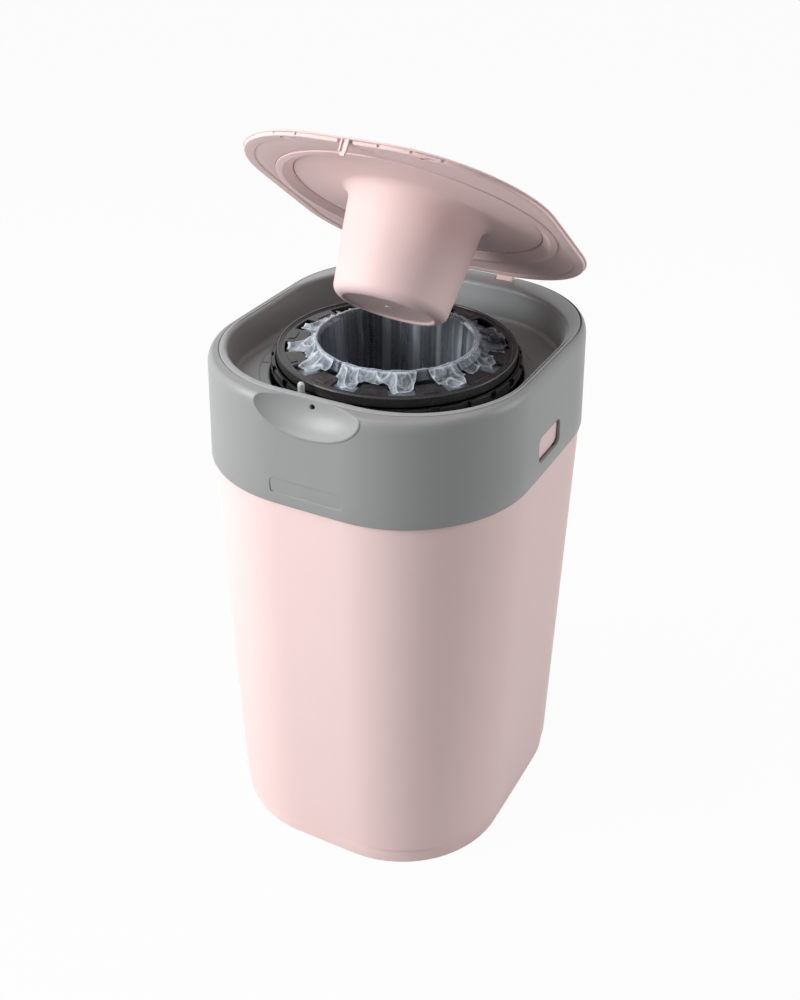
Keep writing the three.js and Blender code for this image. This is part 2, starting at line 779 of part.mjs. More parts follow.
function makeScrew() {
  const headTop = bossZ - gripperThickness - 2 * seat;
  const headLow = headTop - screwHeadHeight;
  return revolve([
    [0, headLow], [screwHeadRadius - seat, headLow], [screwHeadRadius, headLow + screwHeadHeight / 2],
    [screwHeadRadius, headTop], [screwRadius, headTop], [screwRadius, headTop + screwLength],
    [0, headTop + screwLength],
  ], smallSteps);
}

// Click pawl: a rounded peg on a cross pivot, with a nose that drops into the notches.
function makePawl() {
  const pivotZ = deckZ - pawlPivotDrop + 2 * bracketUp;
  const topZ = turntableZ + turntableHeight + pawlTopRise;
  const length = topZ - pivotZ - pawlRadius;
  const peg = toSolid(new THREE.CapsuleGeometry(pawlRadius, length, arcSteps, smallSteps)
    .rotateX(Math.PI / 2).translate(pawlCircle, 0, pivotZ + length / 2));
  const nose = new THREE.Shape();
  nose.moveTo(pawlCircle, -pawlNoseWidth / 2);
  nose.lineTo(pawlCircle, pawlNoseWidth / 2);
  nose.lineTo(turntableRadius - notchDepth + fit, pawlNoseTip / 2);
  nose.lineTo(turntableRadius - notchDepth + fit, -pawlNoseTip / 2);
  nose.closePath();
  const noseZ = turntableZ + turntableHeight - pawlNoseHeight + seat;
  const pivot = rodY(pawlPivotRadius, -pawlPivotLength / 2, pawlPivotLength / 2, pawlCircle, pivotZ);
  return join(peg, toSolid(slab(nose, pawlNoseHeight - 2 * seat).translate(0, 0, noseZ)), pivot);
}

// Pink lid top: soft edge, low dome, round dial hole, hinge knuckles and front hook.
function makeLidTop() {
  const rim = (inset, z) => level(outline(lidPlan, inset), z);
  const holeRadius = ringInnerRadius + 2;
  const round = (radius, z) => level(circle(radius), z);
  const roundZ = lidZ + lidSideHeight;
  const edgeZ = roundZ + lidRoundUp;
  const holeZ = edgeZ + lidDome;
  const outerEdge = outline(lidPlan, lidRoundAcross);
  const holeEdge = circle(holeRadius + lidHoleEdge);
  const innerEdge = outline(lidPlan, lidRoundAcross + lidSkin / 2);
  const innerHole = circle(holeRadius + lidSkin);
  const domeZ = (share) => edgeZ + lidDome * Math.sin((share * Math.PI) / 2);
  const domeShares = [0.3, 0.65];
  const top = loft([
    rim(lidSideEdge, lidZ), rim(0, lidZ + lidSideEdge),
    ...arc(lidRoundAcross, roundZ, lidRoundAcross, lidRoundUp, 180, 90).map(([inset, z]) => rim(inset, z)),
    ...domeShares.map((share) => level(between(outerEdge, holeEdge, share), domeZ(share))),
    round(holeRadius + lidHoleEdge, holeZ),
    round(holeRadius, holeZ - lidHoleEdge / 2),
    round(holeRadius, holeZ - lidHoleEdge / 2 - lidHoleSkirt),
    round(holeRadius + lidSkin, holeZ - lidHoleEdge / 2 - lidHoleSkirt),
    level(innerHole, holeZ - lidSkin),
    ...domeShares.toReversed().map((share) => level(between(innerEdge, innerHole, share), domeZ(share) - lidSkin)),
    level(innerEdge, edgeZ - lidSkin),
    rim(lidSkin, roundZ), rim(lidSkin, lidZ),
  ], true);
  const knuckle = new THREE.Shape();
  knuckle.moveTo(-knuckleRadius, 0);
  knuckle.lineTo(-knuckleRadius, roundZ - hingeZ);
  knuckle.lineTo(-knuckleRadius / 4, roundZ - hingeZ);
  knuckle.absarc(0, 0, knuckleRadius, Math.PI / 4, -Math.PI, true);
  const turned = slab(knuckle, knuckleWidth, rimSteps).rotateX(Math.PI / 2).rotateZ(Math.PI / 2);
  const left = toSolid(turned.translate(hingeX - knuckleWidth / 2, hingeY, hingeZ));
  const bore = rodX(pinRadius + seat, hingeX - knuckleWidth, hingeX + knuckleWidth, hingeY, hingeZ);
  const hookZ = lidZ - hookDrop;
  const hookY = lidPlan.front + lidSideEdge / 2;
  const hook = block([-hookHalfWidth, hookY, hookZ], [hookHalfWidth, hookY + hookThickness, lidZ + lidSideEdge]);
  const nubY = hookY + hookThickness;
  const nub = rodY(hookNubRadius, nubY - hookNub, nubY + hookNub, 0, rimZ - catchHoleDrop);
  return cut(join(top, left, mirrorX(left), hook, nub), bore, mirrorX(bore));
}

// Underside panel of the lid, with the slots of its snap clips.
function makeLidPanel() {
  const rim = outline(lidPlan, lidSkin + fit);
  const hole = circle(ringOuterRadius + fit);
  const low = lidZ + panelLift;
  const high = low + panelThickness;
  const plate = loft([level(rim, low), level(rim, high), level(hole, high), level(hole, low)], true);
  const slotY = lidPlan.front + clipSlotInset;
  const slots = clipSlotShares.map((share) => {
    const x = share * lidPlan.halfWidth;
    return block(
      [x - clipSlotLength / 2, slotY - clipSlotWidth / 2, low - fit],
      [x + clipSlotLength / 2, slotY + clipSlotWidth / 2, high + fit],
    );
  });
  return cut(plate, ...slots);
}

// Conical ring that keeps the dial in the lid.
function makeRetainingRing() {
  const low = lidZ + panelLift;
  return ringOf([
    [ringOuterRadius, low], [ringOuterRadius, low + ringThickness], [ringInnerRadius, low + ringRise + ringThickness],
    [ringInnerRadius, low + ringRise], [ringOuterRadius - ringThickness, low],
  ]);
}

// Plunger cup and dial disc in one moulding.
function makePlunger() {
  const faceZ = lidZ + dialRise;
  const stepZ = lidZ + panelLift + ringRise + ringThickness + seat;
  const flangeTop = stepZ + dialFlangeThickness;
  const plateTop = faceZ + dialPlate;
  const discRadius = ringInnerRadius - running;
  const flangeRadius = discRadius + dialFlangeWidth;
  const bottomZ = lidZ - plungerDepth;
  const roundX = plungerBottomRadius - plungerRound;
  const roundZ = bottomZ + plungerRound;
  const flareX = plungerTopRadius + plungerFlare;
  const inner = plungerRound - plungerWall;
  const innerFlare = plungerFlare + plungerWall;
  return revolve([
    [0, bottomZ + plungerDimple], [roundX - plungerDimple, bottomZ + plungerDimple],
    ...arc(roundX, roundZ, plungerRound, plungerRound, -90, 0, rimSteps),
    ...arc(flareX, faceZ - plungerFlareDown, plungerFlare, plungerFlareDown, 180, 90),
    [discRadius, faceZ], [discRadius, stepZ], [flangeRadius, stepZ], [flangeRadius, flangeTop],
    [discRadius - dialStep, flangeTop], [discRadius - 2 * dialStep, plateTop],
    ...arc(flareX, faceZ - plungerFlareDown, innerFlare, plungerFlareDown + dialPlate, 90, 180),
    ...arc(roundX, roundZ, inner, inner, 0, -90),
    [0, bottomZ + plungerWall + plungerDimple],
  ]);
}

// Twist knob: crowned top ring with a bar handle across the hand well.
function makeKnob() {
  const flangeTop = lidZ + panelLift + ringRise + ringThickness + seat + dialFlangeThickness;
  const lowZ = flangeTop + seat;
  const topZ = flangeTop + knobTop;
  const outer = ringInnerRadius + 2 - running;
  const skirtLow = topZ + knobCrown - knobEdge - wellSkirt;
  const ring = ringOf([
    [outer, lowZ], [outer, topZ - knobEdge], [outer - knobEdge, topZ],
    [wellEdgeRadius + knobEdge, topZ + knobCrown], [wellEdgeRadius, topZ + knobCrown - knobEdge],
    [wellEdgeRadius, skirtLow], [wellEdgeRadius + knobSkin, skirtLow],
    [wellEdgeRadius + knobSkin, topZ + knobCrown - knobSkin - knobEdge], [outer - knobSkin, topZ - knobSkin],
    [outer - knobSkin, lowZ],
  ]);
  const half = wellEdgeRadius + fit;
  const bar = toSolid(slab(roundedShape(handleWidth, handleHeight, handleRound), 2 * half)
    .rotateX(Math.PI / 2).rotateZ(Math.PI / 2).translate(-half, 0, topZ + knobCrown - knobEdge / 2 - handleHeight / 2));
  return join(ring, bar);
}

// Plastics of the photographed colours.
const pink = { color: 0xf6d8d4, roughness: 0.5, metalness: 0 };
const grey = { color: 0xb4b4b3, roughness: 0.55, metalness: 0 };
const paleGrey = { color: 0xc9c9c8, roughness: 0.5, metalness: 0 };
const black = { color: 0x1c1b1a, roughness: 0.4, metalness: 0 };
const film = { color: 0xc9d8e6, roughness: 0.3, metalness: 0 };
const steel = { color: 0x9a9a98, roughness: 0.35, metalness: 1 };

function piece(name, solid, look) {
  const mesh = new THREE.Mesh(toGeometry(solid), new THREE.MeshStandardMaterial(look));
  mesh.name = name;
  return mesh;
}

const bin = new THREE.Group();
bin.add(piece('tub', makeTub(), pink));
const latch = makeLatch();
bin.add(piece('latch_right', latch, pink), piece('latch_left', mirrorX(latch), pink));

const upper = new THREE.Group();
upper.add(piece('collar_shell', makeCollarShell(), grey), piece('collar_liner', makeLiner(), grey));
const pinHalf = knuckleWidth / 2 + knuckleClear + lugWidth;
const pin = rodX(pinRadius, hingeX - pinHalf + fit, hingeX + pinHalf - fit, hingeY, hingeZ);
upper.add(piece('hinge_pin_right', pin, steel), piece('hinge_pin_left', mirrorX(pin), steel));
bin.add(upper);

// What turns round, or stands round, the cassette's axis.
const axle = new THREE.Group();
axle.position.y = cassetteY;
axle.add(piece('turntable_ring', makeTurntable(), black));
axle.add(piece('cassette_tub', makeCassetteTub(), black));
axle.add(piece('cassette_cover', makeCassetteCover(), black));
axle.add(piece('film_pack', makeFilmPack(), film), piece('film_tube', makeFilmTube(), film));
axle.add(piece('gripper_ring', makeGripper(), black));
for (let i = 0; i < screwCount; i += 1) {
  const screw = piece(`gripper_screw_${i + 1}`, makeScrew(), steel);
  const angle = ((2 * i + 1) * Math.PI) / screwCount;
  screw.position.set(bossCircle * Math.cos(angle), bossCircle * Math.sin(angle), 0);
  axle.add(screw);
}
const pawl = piece('click_pawl', makePawl(), paleGrey);
pawl.rotation.z = THREE.MathUtils.degToRad(pawlAngle);
axle.add(pawl);
upper.add(axle);

// The lid stands open on its hinge, and the dial sits in it.
const hinge = new THREE.Group();
hinge.position.set(0, hingeY, hingeZ);
hinge.rotation.x = -THREE.MathUtils.degToRad(lidOpenDegrees);
const lid = new THREE.Group();
lid.position.set(0, -hingeY, -hingeZ);
lid.add(piece('lid_top', makeLidTop(), pink), piece('lid_panel', makeLidPanel(), pink));
const dial = new THREE.Group();
dial.position.y = cassetteY;
dial.add(piece('retaining_ring', makeRetainingRing(), pink));
dial.add(piece('plunger_cup', makePlunger(), pink), piece('twist_knob', makeKnob(), pink));
lid.add(dial);
hinge.add(lid);
upper.add(hinge);

export default bin;
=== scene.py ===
import math

import bpy
import numpy as np
from mathutils import Matrix, Vector, noise


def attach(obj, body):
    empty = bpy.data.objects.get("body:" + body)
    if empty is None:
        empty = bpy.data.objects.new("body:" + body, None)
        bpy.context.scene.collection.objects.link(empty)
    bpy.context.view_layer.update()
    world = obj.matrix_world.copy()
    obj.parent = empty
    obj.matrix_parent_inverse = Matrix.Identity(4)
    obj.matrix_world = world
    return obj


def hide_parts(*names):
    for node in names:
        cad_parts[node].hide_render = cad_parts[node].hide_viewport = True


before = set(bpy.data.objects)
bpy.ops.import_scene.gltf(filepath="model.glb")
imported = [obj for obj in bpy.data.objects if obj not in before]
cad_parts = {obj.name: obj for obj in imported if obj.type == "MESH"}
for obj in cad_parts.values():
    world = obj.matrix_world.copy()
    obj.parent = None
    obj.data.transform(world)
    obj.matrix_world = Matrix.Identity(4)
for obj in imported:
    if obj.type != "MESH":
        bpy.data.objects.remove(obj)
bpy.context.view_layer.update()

MM = 0.001
AROUND = 240
SHARP = 34.0

# Sizes of the bin in millimetres, taken from the part's source.
SEAT, FIT, RUNNING, OVERRUN = 0.3, 0.4, 0.8, 12.0
PLAN_SIDE = 5000.0
PLAN = dict(half_width=132.6, front=-151.1, back=151.1, flat=28.6)
SEAM = dict(half_width=124.0, front=-135.5, back=142.4, flat=31.0)
OPENING = dict(half_width=118.6, front=-128.0, back=119.0, flat=30.6)
LID = dict(half_width=121.5, front=-140.0, back=136.2, flat=24.5)

SHOULDER_Z = 355.7
NECK_HEIGHT = 36.0
COLLAR_HEIGHT = 84.0
COLLAR_TAPER = 3.3
COLLAR_WALL = 2.4
FLANGE_THICKNESS = 3.0
LINER_WALL = 2.4
DECK_DROP = 28.5
DECK_STEP = 0.8
WELL_DEPTH = 45.1
LID_GAP = 0.7
PANEL_HEIGHT = 2.9
COLLAR_Z = SHOULDER_Z + SEAT
RIM_Z = COLLAR_Z + COLLAR_HEIGHT
FLANGE_Z = RIM_Z + SEAT
FLANGE_LOW = FLANGE_Z - FLANGE_THICKNESS
LEDGE_Z = FLANGE_LOW - SEAT
DECK_Z = RIM_Z - DECK_DROP
STEP_Z = DECK_Z - DECK_STEP
WELL_FLOOR_Z = DECK_Z - WELL_DEPTH
THROAT_Z = WELL_FLOOR_Z - LINER_WALL
LID_Z = RIM_Z + SEAT + LID_GAP
LID_SPLIT = LID_Z + PANEL_HEIGHT

HINGE_DROP = 2.8
HINGE_X, HINGE_Y, HINGE_Z = 28.0, 138.5, FLANGE_Z - HINGE_DROP
KNUCKLE_RADIUS, KNUCKLE_WIDTH, KNUCKLE_CLEAR = 4.1, 14.6, 0.7
LUG_WIDTH = 7.0
LUG_HALF = KNUCKLE_WIDTH / 2 + KNUCKLE_CLEAR + LUG_WIDTH
PIN_HOLE = 1.9
LID_OPEN = math.radians(36.1)

AXIS_FORWARD = 3.5
CASSETTE_Y = (OPENING["front"] + OPENING["back"]) / 2 - AXIS_FORWARD
WELL_RADIUS = 100.4
THROAT_RADIUS = 66.0
BOSS_CIRCLE, BOSS_HEIGHT = 74.0, 6.0
TURNTABLE_HEIGHT = 57.3
TURNTABLE_FLOOR = 2.7
TURNTABLE_RADIUS = WELL_RADIUS - 2 * RUNNING
TURNTABLE_Z = WELL_FLOOR_Z + SEAT
TURNTABLE_TOP = TURNTABLE_Z + TURNTABLE_HEIGHT
NOTCH_COUNT, NOTCH_DEPTH, NOTCH_HALF = 24, 2.2, 3.5
CASSETTE_INSET = 6.6
CASSETTE_HEIGHT = 58.8
CASSETTE_RADIUS = TURNTABLE_RADIUS - CASSETTE_INSET
CASSETTE_Z = TURNTABLE_FLOOR + SEAT + TURNTABLE_Z
CASSETTE_TOP = CASSETTE_Z + CASSETTE_HEIGHT
TROUGH_WIDTH = 30.2
BORE_RISE = 9.5
BEAD_WIDTH = 0.9
BORE_RADIUS = CASSETTE_RADIUS - TROUGH_WIDTH
BEAD_RADIUS = BORE_RADIUS + BEAD_WIDTH
BEAD_Z = CASSETTE_TOP + BORE_RISE
LIP_Z = CASSETTE_TOP + SEAT
TAB_COUNT, TAB_THICKNESS = 12, 2.0
PAWL_GAP, PAWL_RISE, PAWL_PIVOT_DROP = 2.8, 10.6, 14.0
PAWL_CIRCLE = TURNTABLE_RADIUS + PAWL_GAP
PAWL_ANGLE = math.radians(254)
PAWL_PIVOT_Z = DECK_Z - PAWL_PIVOT_DROP
PAWL_TOP = TURNTABLE_TOP + PAWL_RISE

RING_OUTER, RING_WIDTH = 110.2, 12.2
RING_INNER = RING_OUTER - RING_WIDTH
PLUNGER_TOP_GAP, PLUNGER_LOW_GAP = 10.0, 16.6
PLUNGER_TOP_RADIUS = BORE_RADIUS - PLUNGER_TOP_GAP
PLUNGER_LOW_RADIUS = BORE_RADIUS - PLUNGER_LOW_GAP

SCOOP_HALF, SCOOP_REACH, SCOOP_DEPTH = 49.0, 21.5, 26.0
SCOOP_Y = SEAM["front"] - SCOOP_REACH
CATCH_DROP, CATCH_RADIUS = 5.6, 2.0
CATCH_Z = RIM_Z - CATCH_DROP
WINDOW = dict(length=42.0, height=22.0, corner=6.0, y=-6.5, z=COLLAR_Z + 23.2)
BADGE = dict(length=61.0, height=12.0, corner=3.0, depth=0.5, z=COLLAR_Z + 15.0)
CLIP_SHARES = (-0.4, 0.12, 0.48)
CLIP_Y = LID["front"] + 9.0

# Film sheets round the bead: from and to in degrees, reach over tabs and in the gaps between
# them, and how milky each is, which is partly painted light: milkiest on the lit front and left
# sheets, clearest on the shaded right ones. Gaps lie at every 30 degrees, and tabs halfway between.
SHEETS = ((-102, -49, 10, 20, 1.0), (-41, -20, 12, 21, 0.8), (-18, 11, 12, 18, 0.3),
          (15, 54, 19, 22, 0.0), (58, 84, 9, 17, 0.5), (88, 110, 8, 16, 0.8),
          (112, 145, 12, 17, 1.0), (147, 192, 9, 20, 1.0), (199, 250, 10, 21, 1.0))


# Outlines, profiles and skins.
def even_turns(count):
    return np.arange(count) * 2 * math.pi / count


TURNS = even_turns(AROUND)


def outline(shape, inset=0.0, turns=TURNS):
    """Soft rectangle of tangent arcs, met by rays at equal angles."""
    half_width = shape["half_width"] - inset
    half_depth = (shape["back"] - shape["front"]) / 2 - inset
    centre_y = (shape["back"] + shape["front"]) / 2
    side, corner = PLAN_SIDE - inset, half_width - shape["flat"]
    right, rear = np.array([half_width - side, 0.0]), np.array([0.0, half_depth - side])
    across = rear - right
    reach = math.sqrt((side - corner) ** 2 - (across @ across) / 4)
    hub = (right + rear) / 2 + np.array([-across[1], across[0]]) / np.linalg.norm(across) * reach

    def tangent(centre):
        touch = centre + (hub - centre) / np.linalg.norm(hub - centre) * side
        return math.atan2(touch[1], touch[0])

    start, end = tangent(right), tangent(rear)
    ray = np.c_[np.abs(np.cos(turns)), np.abs(np.sin(turns))]
    angle = np.arctan2(ray[:, 1], ray[:, 0])
    centre = np.where((angle < start)[:, None], right, np.where((angle > end)[:, None], rear, hub))
    radius = np.where((angle < start) | (angle > end), side, corner)
    along = (ray * centre).sum(1)
    distance = along + np.sqrt(radius ** 2 - (centre ** 2).sum(1) + along ** 2)
    return np.c_[distance * np.cos(turns), distance * np.sin(turns) + centre_y]


def circle(radius, turns=TURNS):
    return np.c_[radius * np.cos(turns), CASSETTE_Y + radius * np.sin(turns)]


def ring(points, z):
    return np.c_[points, np.full(len(points), float(z))]


def plan_rings(points, shape=PLAN):
    return [ring(outline(shape, inset), z) for inset, z in points]


def round_rings(points, turns=TURNS):
    return [ring(circle(radius, turns), z) for radius, z in points]


def arc(x, z, rx, rz, start, end, steps=8):
    angles = np.radians(np.linspace(start, end, steps + 1))
    return [(x + rx * math.cos(t), z + rz * math.sin(t)) for t in angles]


def soften(points, closed=True, steps=5):
    """Rounds the corners of a profile: each point is (x, z) or (x, z, fillet radius)."""
    most = 0.49
    out = []
    for i, point in enumerate(points):
        radius = point[2] if len(point) > 2 else 0.0
        here = np.array(point[:2], float)
        if radius <= 0 or (not closed and i in (0, len(points) - 1)):
            out.append(tuple(here))
            continue
        before = np.array(points[i - 1][:2], float) - here
        after = np.array(points[(i + 1) % len(points)][:2], float) - here
        lengths = np.linalg.norm(before), np.linalg.norm(after)
        before, after = before / lengths[0], after / lengths[1]
        half = math.acos(max(-1.0, min(1.0, float(before @ after)))) / 2
        cut = min(radius / math.tan(half), most * lengths[0], most * lengths[1])
        start, end = here + before * cut, here + after * cut
        for t in np.linspace(0, 1, steps + 1):
            out.append(tuple((1 - t) ** 2 * start + 2 * t * (1 - t) * here + t * t * end))
    return out


def shade_smooth(mesh, sharp=SHARP):
    mesh.polygons.foreach_set("use_smooth", [True] * len(mesh.polygons))
    if sharp:
        mesh.set_sharp_from_angle(angle=math.radians(sharp))


def new_object(name, data):
    obj = bpy.data.objects.new(name, data)
    bpy.context.scene.collection.objects.link(obj)
    return obj


def mesh_object(name, verts, faces, sharp=SHARP):
    """Object from points in millimetres. Edges over the sharp angle stay sharp, or none at 0."""
    mesh = bpy.data.meshes.new(name)
    mesh.from_pydata((np.asarray(verts, float) * MM).tolist(), [], faces)
    mesh.validate()
    shade_smooth(mesh, sharp)
    return new_object(name, mesh)


def band_faces(row, next_row, count):
    i = np.arange(count)
    j = (i + 1) % count
    return np.c_[row * count + i, row * count + j, next_row * count + j, next_row * count + i].tolist()


def loft(name, rings, closed=False, sharp=SHARP):
    """Skin through rings: up the outside, then down the inside."""
    rings = np.asarray(rings, float)
    rows, count, _ = rings.shape
    faces = []
    for row in range(rows if closed else rows - 1):
        faces += band_faces(row, (row + 1) % rows, count)
    if not closed:
        faces.append((np.arange(count)[::-1]).tolist())
        faces.append(((rows - 1) * count + np.arange(count)).tolist())
    return mesh_object(name, rings.reshape(-1, 3), faces, sharp)


def lathe(name, profile, closed=True, around=AROUND):
    """Revolves (radius, z) points round the cassette's axis. An open profile ends on the axis."""
    turns = even_turns(around)
    if closed:
        return loft(name, round_rings(profile, turns), True)
    rings = np.array(round_rings(profile[1:-1], turns))
    rows = len(rings)
    verts = rings.reshape(-1, 3).tolist()
    verts += [[0, CASSETTE_Y, profile[0][1]], [0, CASSETTE_Y, profile[-1][1]]]
    faces = []
    for row in range(rows - 1):
        faces += band_faces(row, row + 1, around)
    i = np.arange(around)
    j = (i + 1) % around
    low, high = rows * around, rows * around + 1
    faces += np.c_[np.full(around, low), j, i].tolist()
    faces += np.c_[np.full(around, high), (rows - 1) * around + i, (rows - 1) * around + j].tolist()
    return mesh_object(name, verts, faces)


def box(name, low, high):
    verts = [(x, y, z) for z in (low[2], high[2]) for y in (low[1], high[1]) for x in (low[0], high[0])]
    faces = [(0, 2, 3, 1), (4, 5, 7, 6), (0, 1, 5, 4), (1, 3, 7, 5), (3, 2, 6, 7), (2, 0, 4, 6)]
    return mesh_object(name, verts, faces, 0)


def capped_faces(count):
    """Faces of a solid between two outlines of count points, with a cap at each end."""
    faces = [list(range(count))[::-1], list(range(count, 2 * count))]
    return faces + [[i, (i + 1) % count, count + (i + 1) % count, count + i] for i in range(count)]


def prism(name, shape, depth, place):
    """Extrudes an anticlockwise outline, and place maps (u, v, w) to the frame."""
    verts = [place(u, v, w) for w in (0.0, depth) for u, v in shape]
    return mesh_object(name, verts, capped_faces(len(shape)))


def rounded(width, height, radius, steps=8):
    points = []
    for sign_u, sign_v, start in ((1, 1, 0), (-1, 1, 90), (-1, -1, 180), (1, -1, 270)):
        centre = sign_u * (width / 2 - radius), sign_v * (height / 2 - radius)
        points += arc(*centre, radius, radius, start, start + 90, steps)
    return points


def ellipsoid(name, centre, radii):
    around, up = 160, 80
    verts = [(centre[0], centre[1], centre[2] - radii[2])]
    for k in range(1, up):
        rise = math.pi * (k / up - 0.5)
        for i in range(around):
            turn = 2 * math.pi * i / around
            verts.append((centre[0] + radii[0] * math.cos(rise) * math.cos(turn),
                          centre[1] + radii[1] * math.cos(rise) * math.sin(turn),
                          centre[2] + radii[2] * math.sin(rise)))
    verts.append((centre[0], centre[1], centre[2] + radii[2]))
    top = len(verts) - 1
    last = 1 + (up - 2) * around
    faces = []
    for i in range(around):
        j = (i + 1) % around
        faces.append((0, 1 + j, 1 + i))
        faces.append((top, last + i, last + j))
        for k in range(up - 2):
            low, high = 1 + k * around, 1 + (k + 1) * around
            faces.append((low + i, low + j, high + j, high + i))
    return mesh_object(name, verts, faces, 0)


def rod(name, start, end, radius):
    around = 32
    start, end = Vector(start), Vector(end)
    axis = (end - start).normalized()
    side = axis.orthogonal().normalized()
    up = axis.cross(side)
    verts = []
    for tip in (start, end):
        for i in range(around):
            turn = 2 * math.pi * i / around
            verts.append(tuple(tip + radius * (math.cos(turn) * side + math.sin(turn) * up)))
    return mesh_object(name, verts, capped_faces(around))


def carve(obj, tools, how="DIFFERENCE"):
    """Applies booleans one after another and drops the tools."""
    for tool in tools:
        cut = obj.modifiers.new("cut", "BOOLEAN")
        cut.operation = how
        cut.object = tool
        cut.solver = "MANIFOLD"
        bpy.context.view_layer.update()
        graph = bpy.context.evaluated_depsgraph_get()
        mesh = bpy.data.meshes.new_from_object(obj.evaluated_get(graph))
        obj.modifiers.clear()
        spent = [obj.data, tool.data]
        obj.data = mesh
        bpy.data.objects.remove(tool)
        for old in spent:
            bpy.data.meshes.remove(old)
    shade_smooth(obj.data)
    return obj


def move(obj, matrix):
    scaled = Matrix(matrix)
    scaled.translation = scaled.translation * MM
    obj.data.transform(scaled)
    return obj


def turned(angle):
    """Turn round the cassette's axis."""
    there, back = Matrix.Translation((0, CASSETTE_Y, 0)), Matrix.Translation((0, -CASSETTE_Y, 0))
    return there @ Matrix.Rotation(angle, 4, "Z") @ back


def radial_box(name, inner, outer, half, low, high, angle):
    """Box between two radii round the cassette's axis, turned to an angle."""
    block = box(name, (inner, CASSETTE_Y - half, low), (outer, CASSETTE_Y + half, high))
    return move(block, turned(angle))


OPENED = (Matrix.Translation((0, HINGE_Y, HINGE_Z)) @ Matrix.Rotation(-LID_OPEN, 4, "X")
          @ Matrix.Translation((0, -HINGE_Y, -HINGE_Z)))


def both_sides(near, far, make):
    """Makes something between two places along X on the right, and its twin on the left."""
    return [make(near, far), make(-far, -near)]


# Materials.
def add(tree, kind, **values):
    """New shader node. Each value goes to the socket of its name, or else to the node's setting."""
    node = tree.nodes.new(kind)
    for key, value in values.items():
        if key in node.inputs:
            node.inputs[key].default_value = value
        else:
            setattr(node, key, value)
    return node


def mixed(tree, share, first, second):
    """Mix of two shaders, with the second one's share as a number or from a socket."""
    mix = add(tree, "ShaderNodeMixShader")
    if isinstance(share, float):
        mix.inputs[0].default_value = share
    else:
        tree.links.new(share, mix.inputs[0])
    tree.links.new(first.outputs[0], mix.inputs[1])
    tree.links.new(second.outputs[0], mix.inputs[2])
    return mix


def times(tree, source, factor, plus=None, clamp=False):
    """A socket times a number, and plus another socket where there is one."""
    kind = "MULTIPLY" if plus is None else "MULTIPLY_ADD"
    node = add(tree, "ShaderNodeMath", operation=kind, use_clamp=clamp)
    node.inputs[1].default_value = factor
    tree.links.new(source, node.inputs[0])
    if plus is not None:
        tree.links.new(plus, node.inputs[2])
    return node.outputs[0]


def spread(tree, source, low, high, start=0.3, end=0.7):
    """Stretches a pattern's values from start and end to low and high."""
    span = add(tree, "ShaderNodeMapRange",
               **{"From Min": start, "From Max": end, "To Min": low, "To Max": high})
    tree.links.new(source, span.inputs["Value"])
    return span.outputs[0]


def noise_over(tree, **values):
    """Noise over the object's own coordinates."""
    coords = add(tree, "ShaderNodeTexCoord")
    pattern = add(tree, "ShaderNodeTexNoise", **values)
    tree.links.new(coords.outputs["Object"], pattern.inputs["Vector"])
    return pattern.outputs["Fac"]


def new_material(name):
    material = bpy.data.materials.new(name)
    material.use_nodes = True
    return material, material.node_tree


def linear(colour):
    out = []
    for shift in (16, 8, 0):
        c = ((colour >> shift) & 255) / 255
        out.append(c / 12.92 if c <= 0.04045 else ((c + 0.055) / 1.055) ** 2.4)
    return (*out, 1.0)


def plastic(name, colour, rough, grain, tint, edge=1.2, specular=0.45):
    """Moulded plastic: fine spark-eroded grain, slight flow marks and softened edges."""
    material, tree = new_material(name)
    bsdf = tree.nodes["Principled BSDF"]
    base = linear(colour)
    flow = noise_over(tree, Scale=9.0, Detail=3.0, Roughness=0.55)
    shade = add(tree, "ShaderNodeMix", data_type="RGBA")
    shade.inputs[6].default_value = (*[c * (1 - tint) for c in base[:3]], 1)
    shade.inputs[7].default_value = (*[min(1, c * (1 + tint)) for c in base[:3]], 1)
    tree.links.new(flow, shade.inputs[0])
    tree.links.new(shade.outputs[2], bsdf.inputs["Base Color"])
    fine = noise_over(tree, Scale=1900.0, Detail=2.0, Roughness=0.6)
    tree.links.new(spread(tree, fine, rough - 0.06, rough + 0.06), bsdf.inputs["Roughness"])
    soft = add(tree, "ShaderNodeBevel", samples=6, Radius=edge * MM)
    bump = add(tree, "ShaderNodeBump", Strength=grain, Distance=0.0004)
    tree.links.new(fine, bump.inputs["Height"])
    tree.links.new(soft.outputs["Normal"], bump.inputs["Normal"])
    tree.links.new(bump.outputs["Normal"], bsdf.inputs["Normal"])
    bsdf.inputs["Specular IOR Level"].default_value = specular
    return material


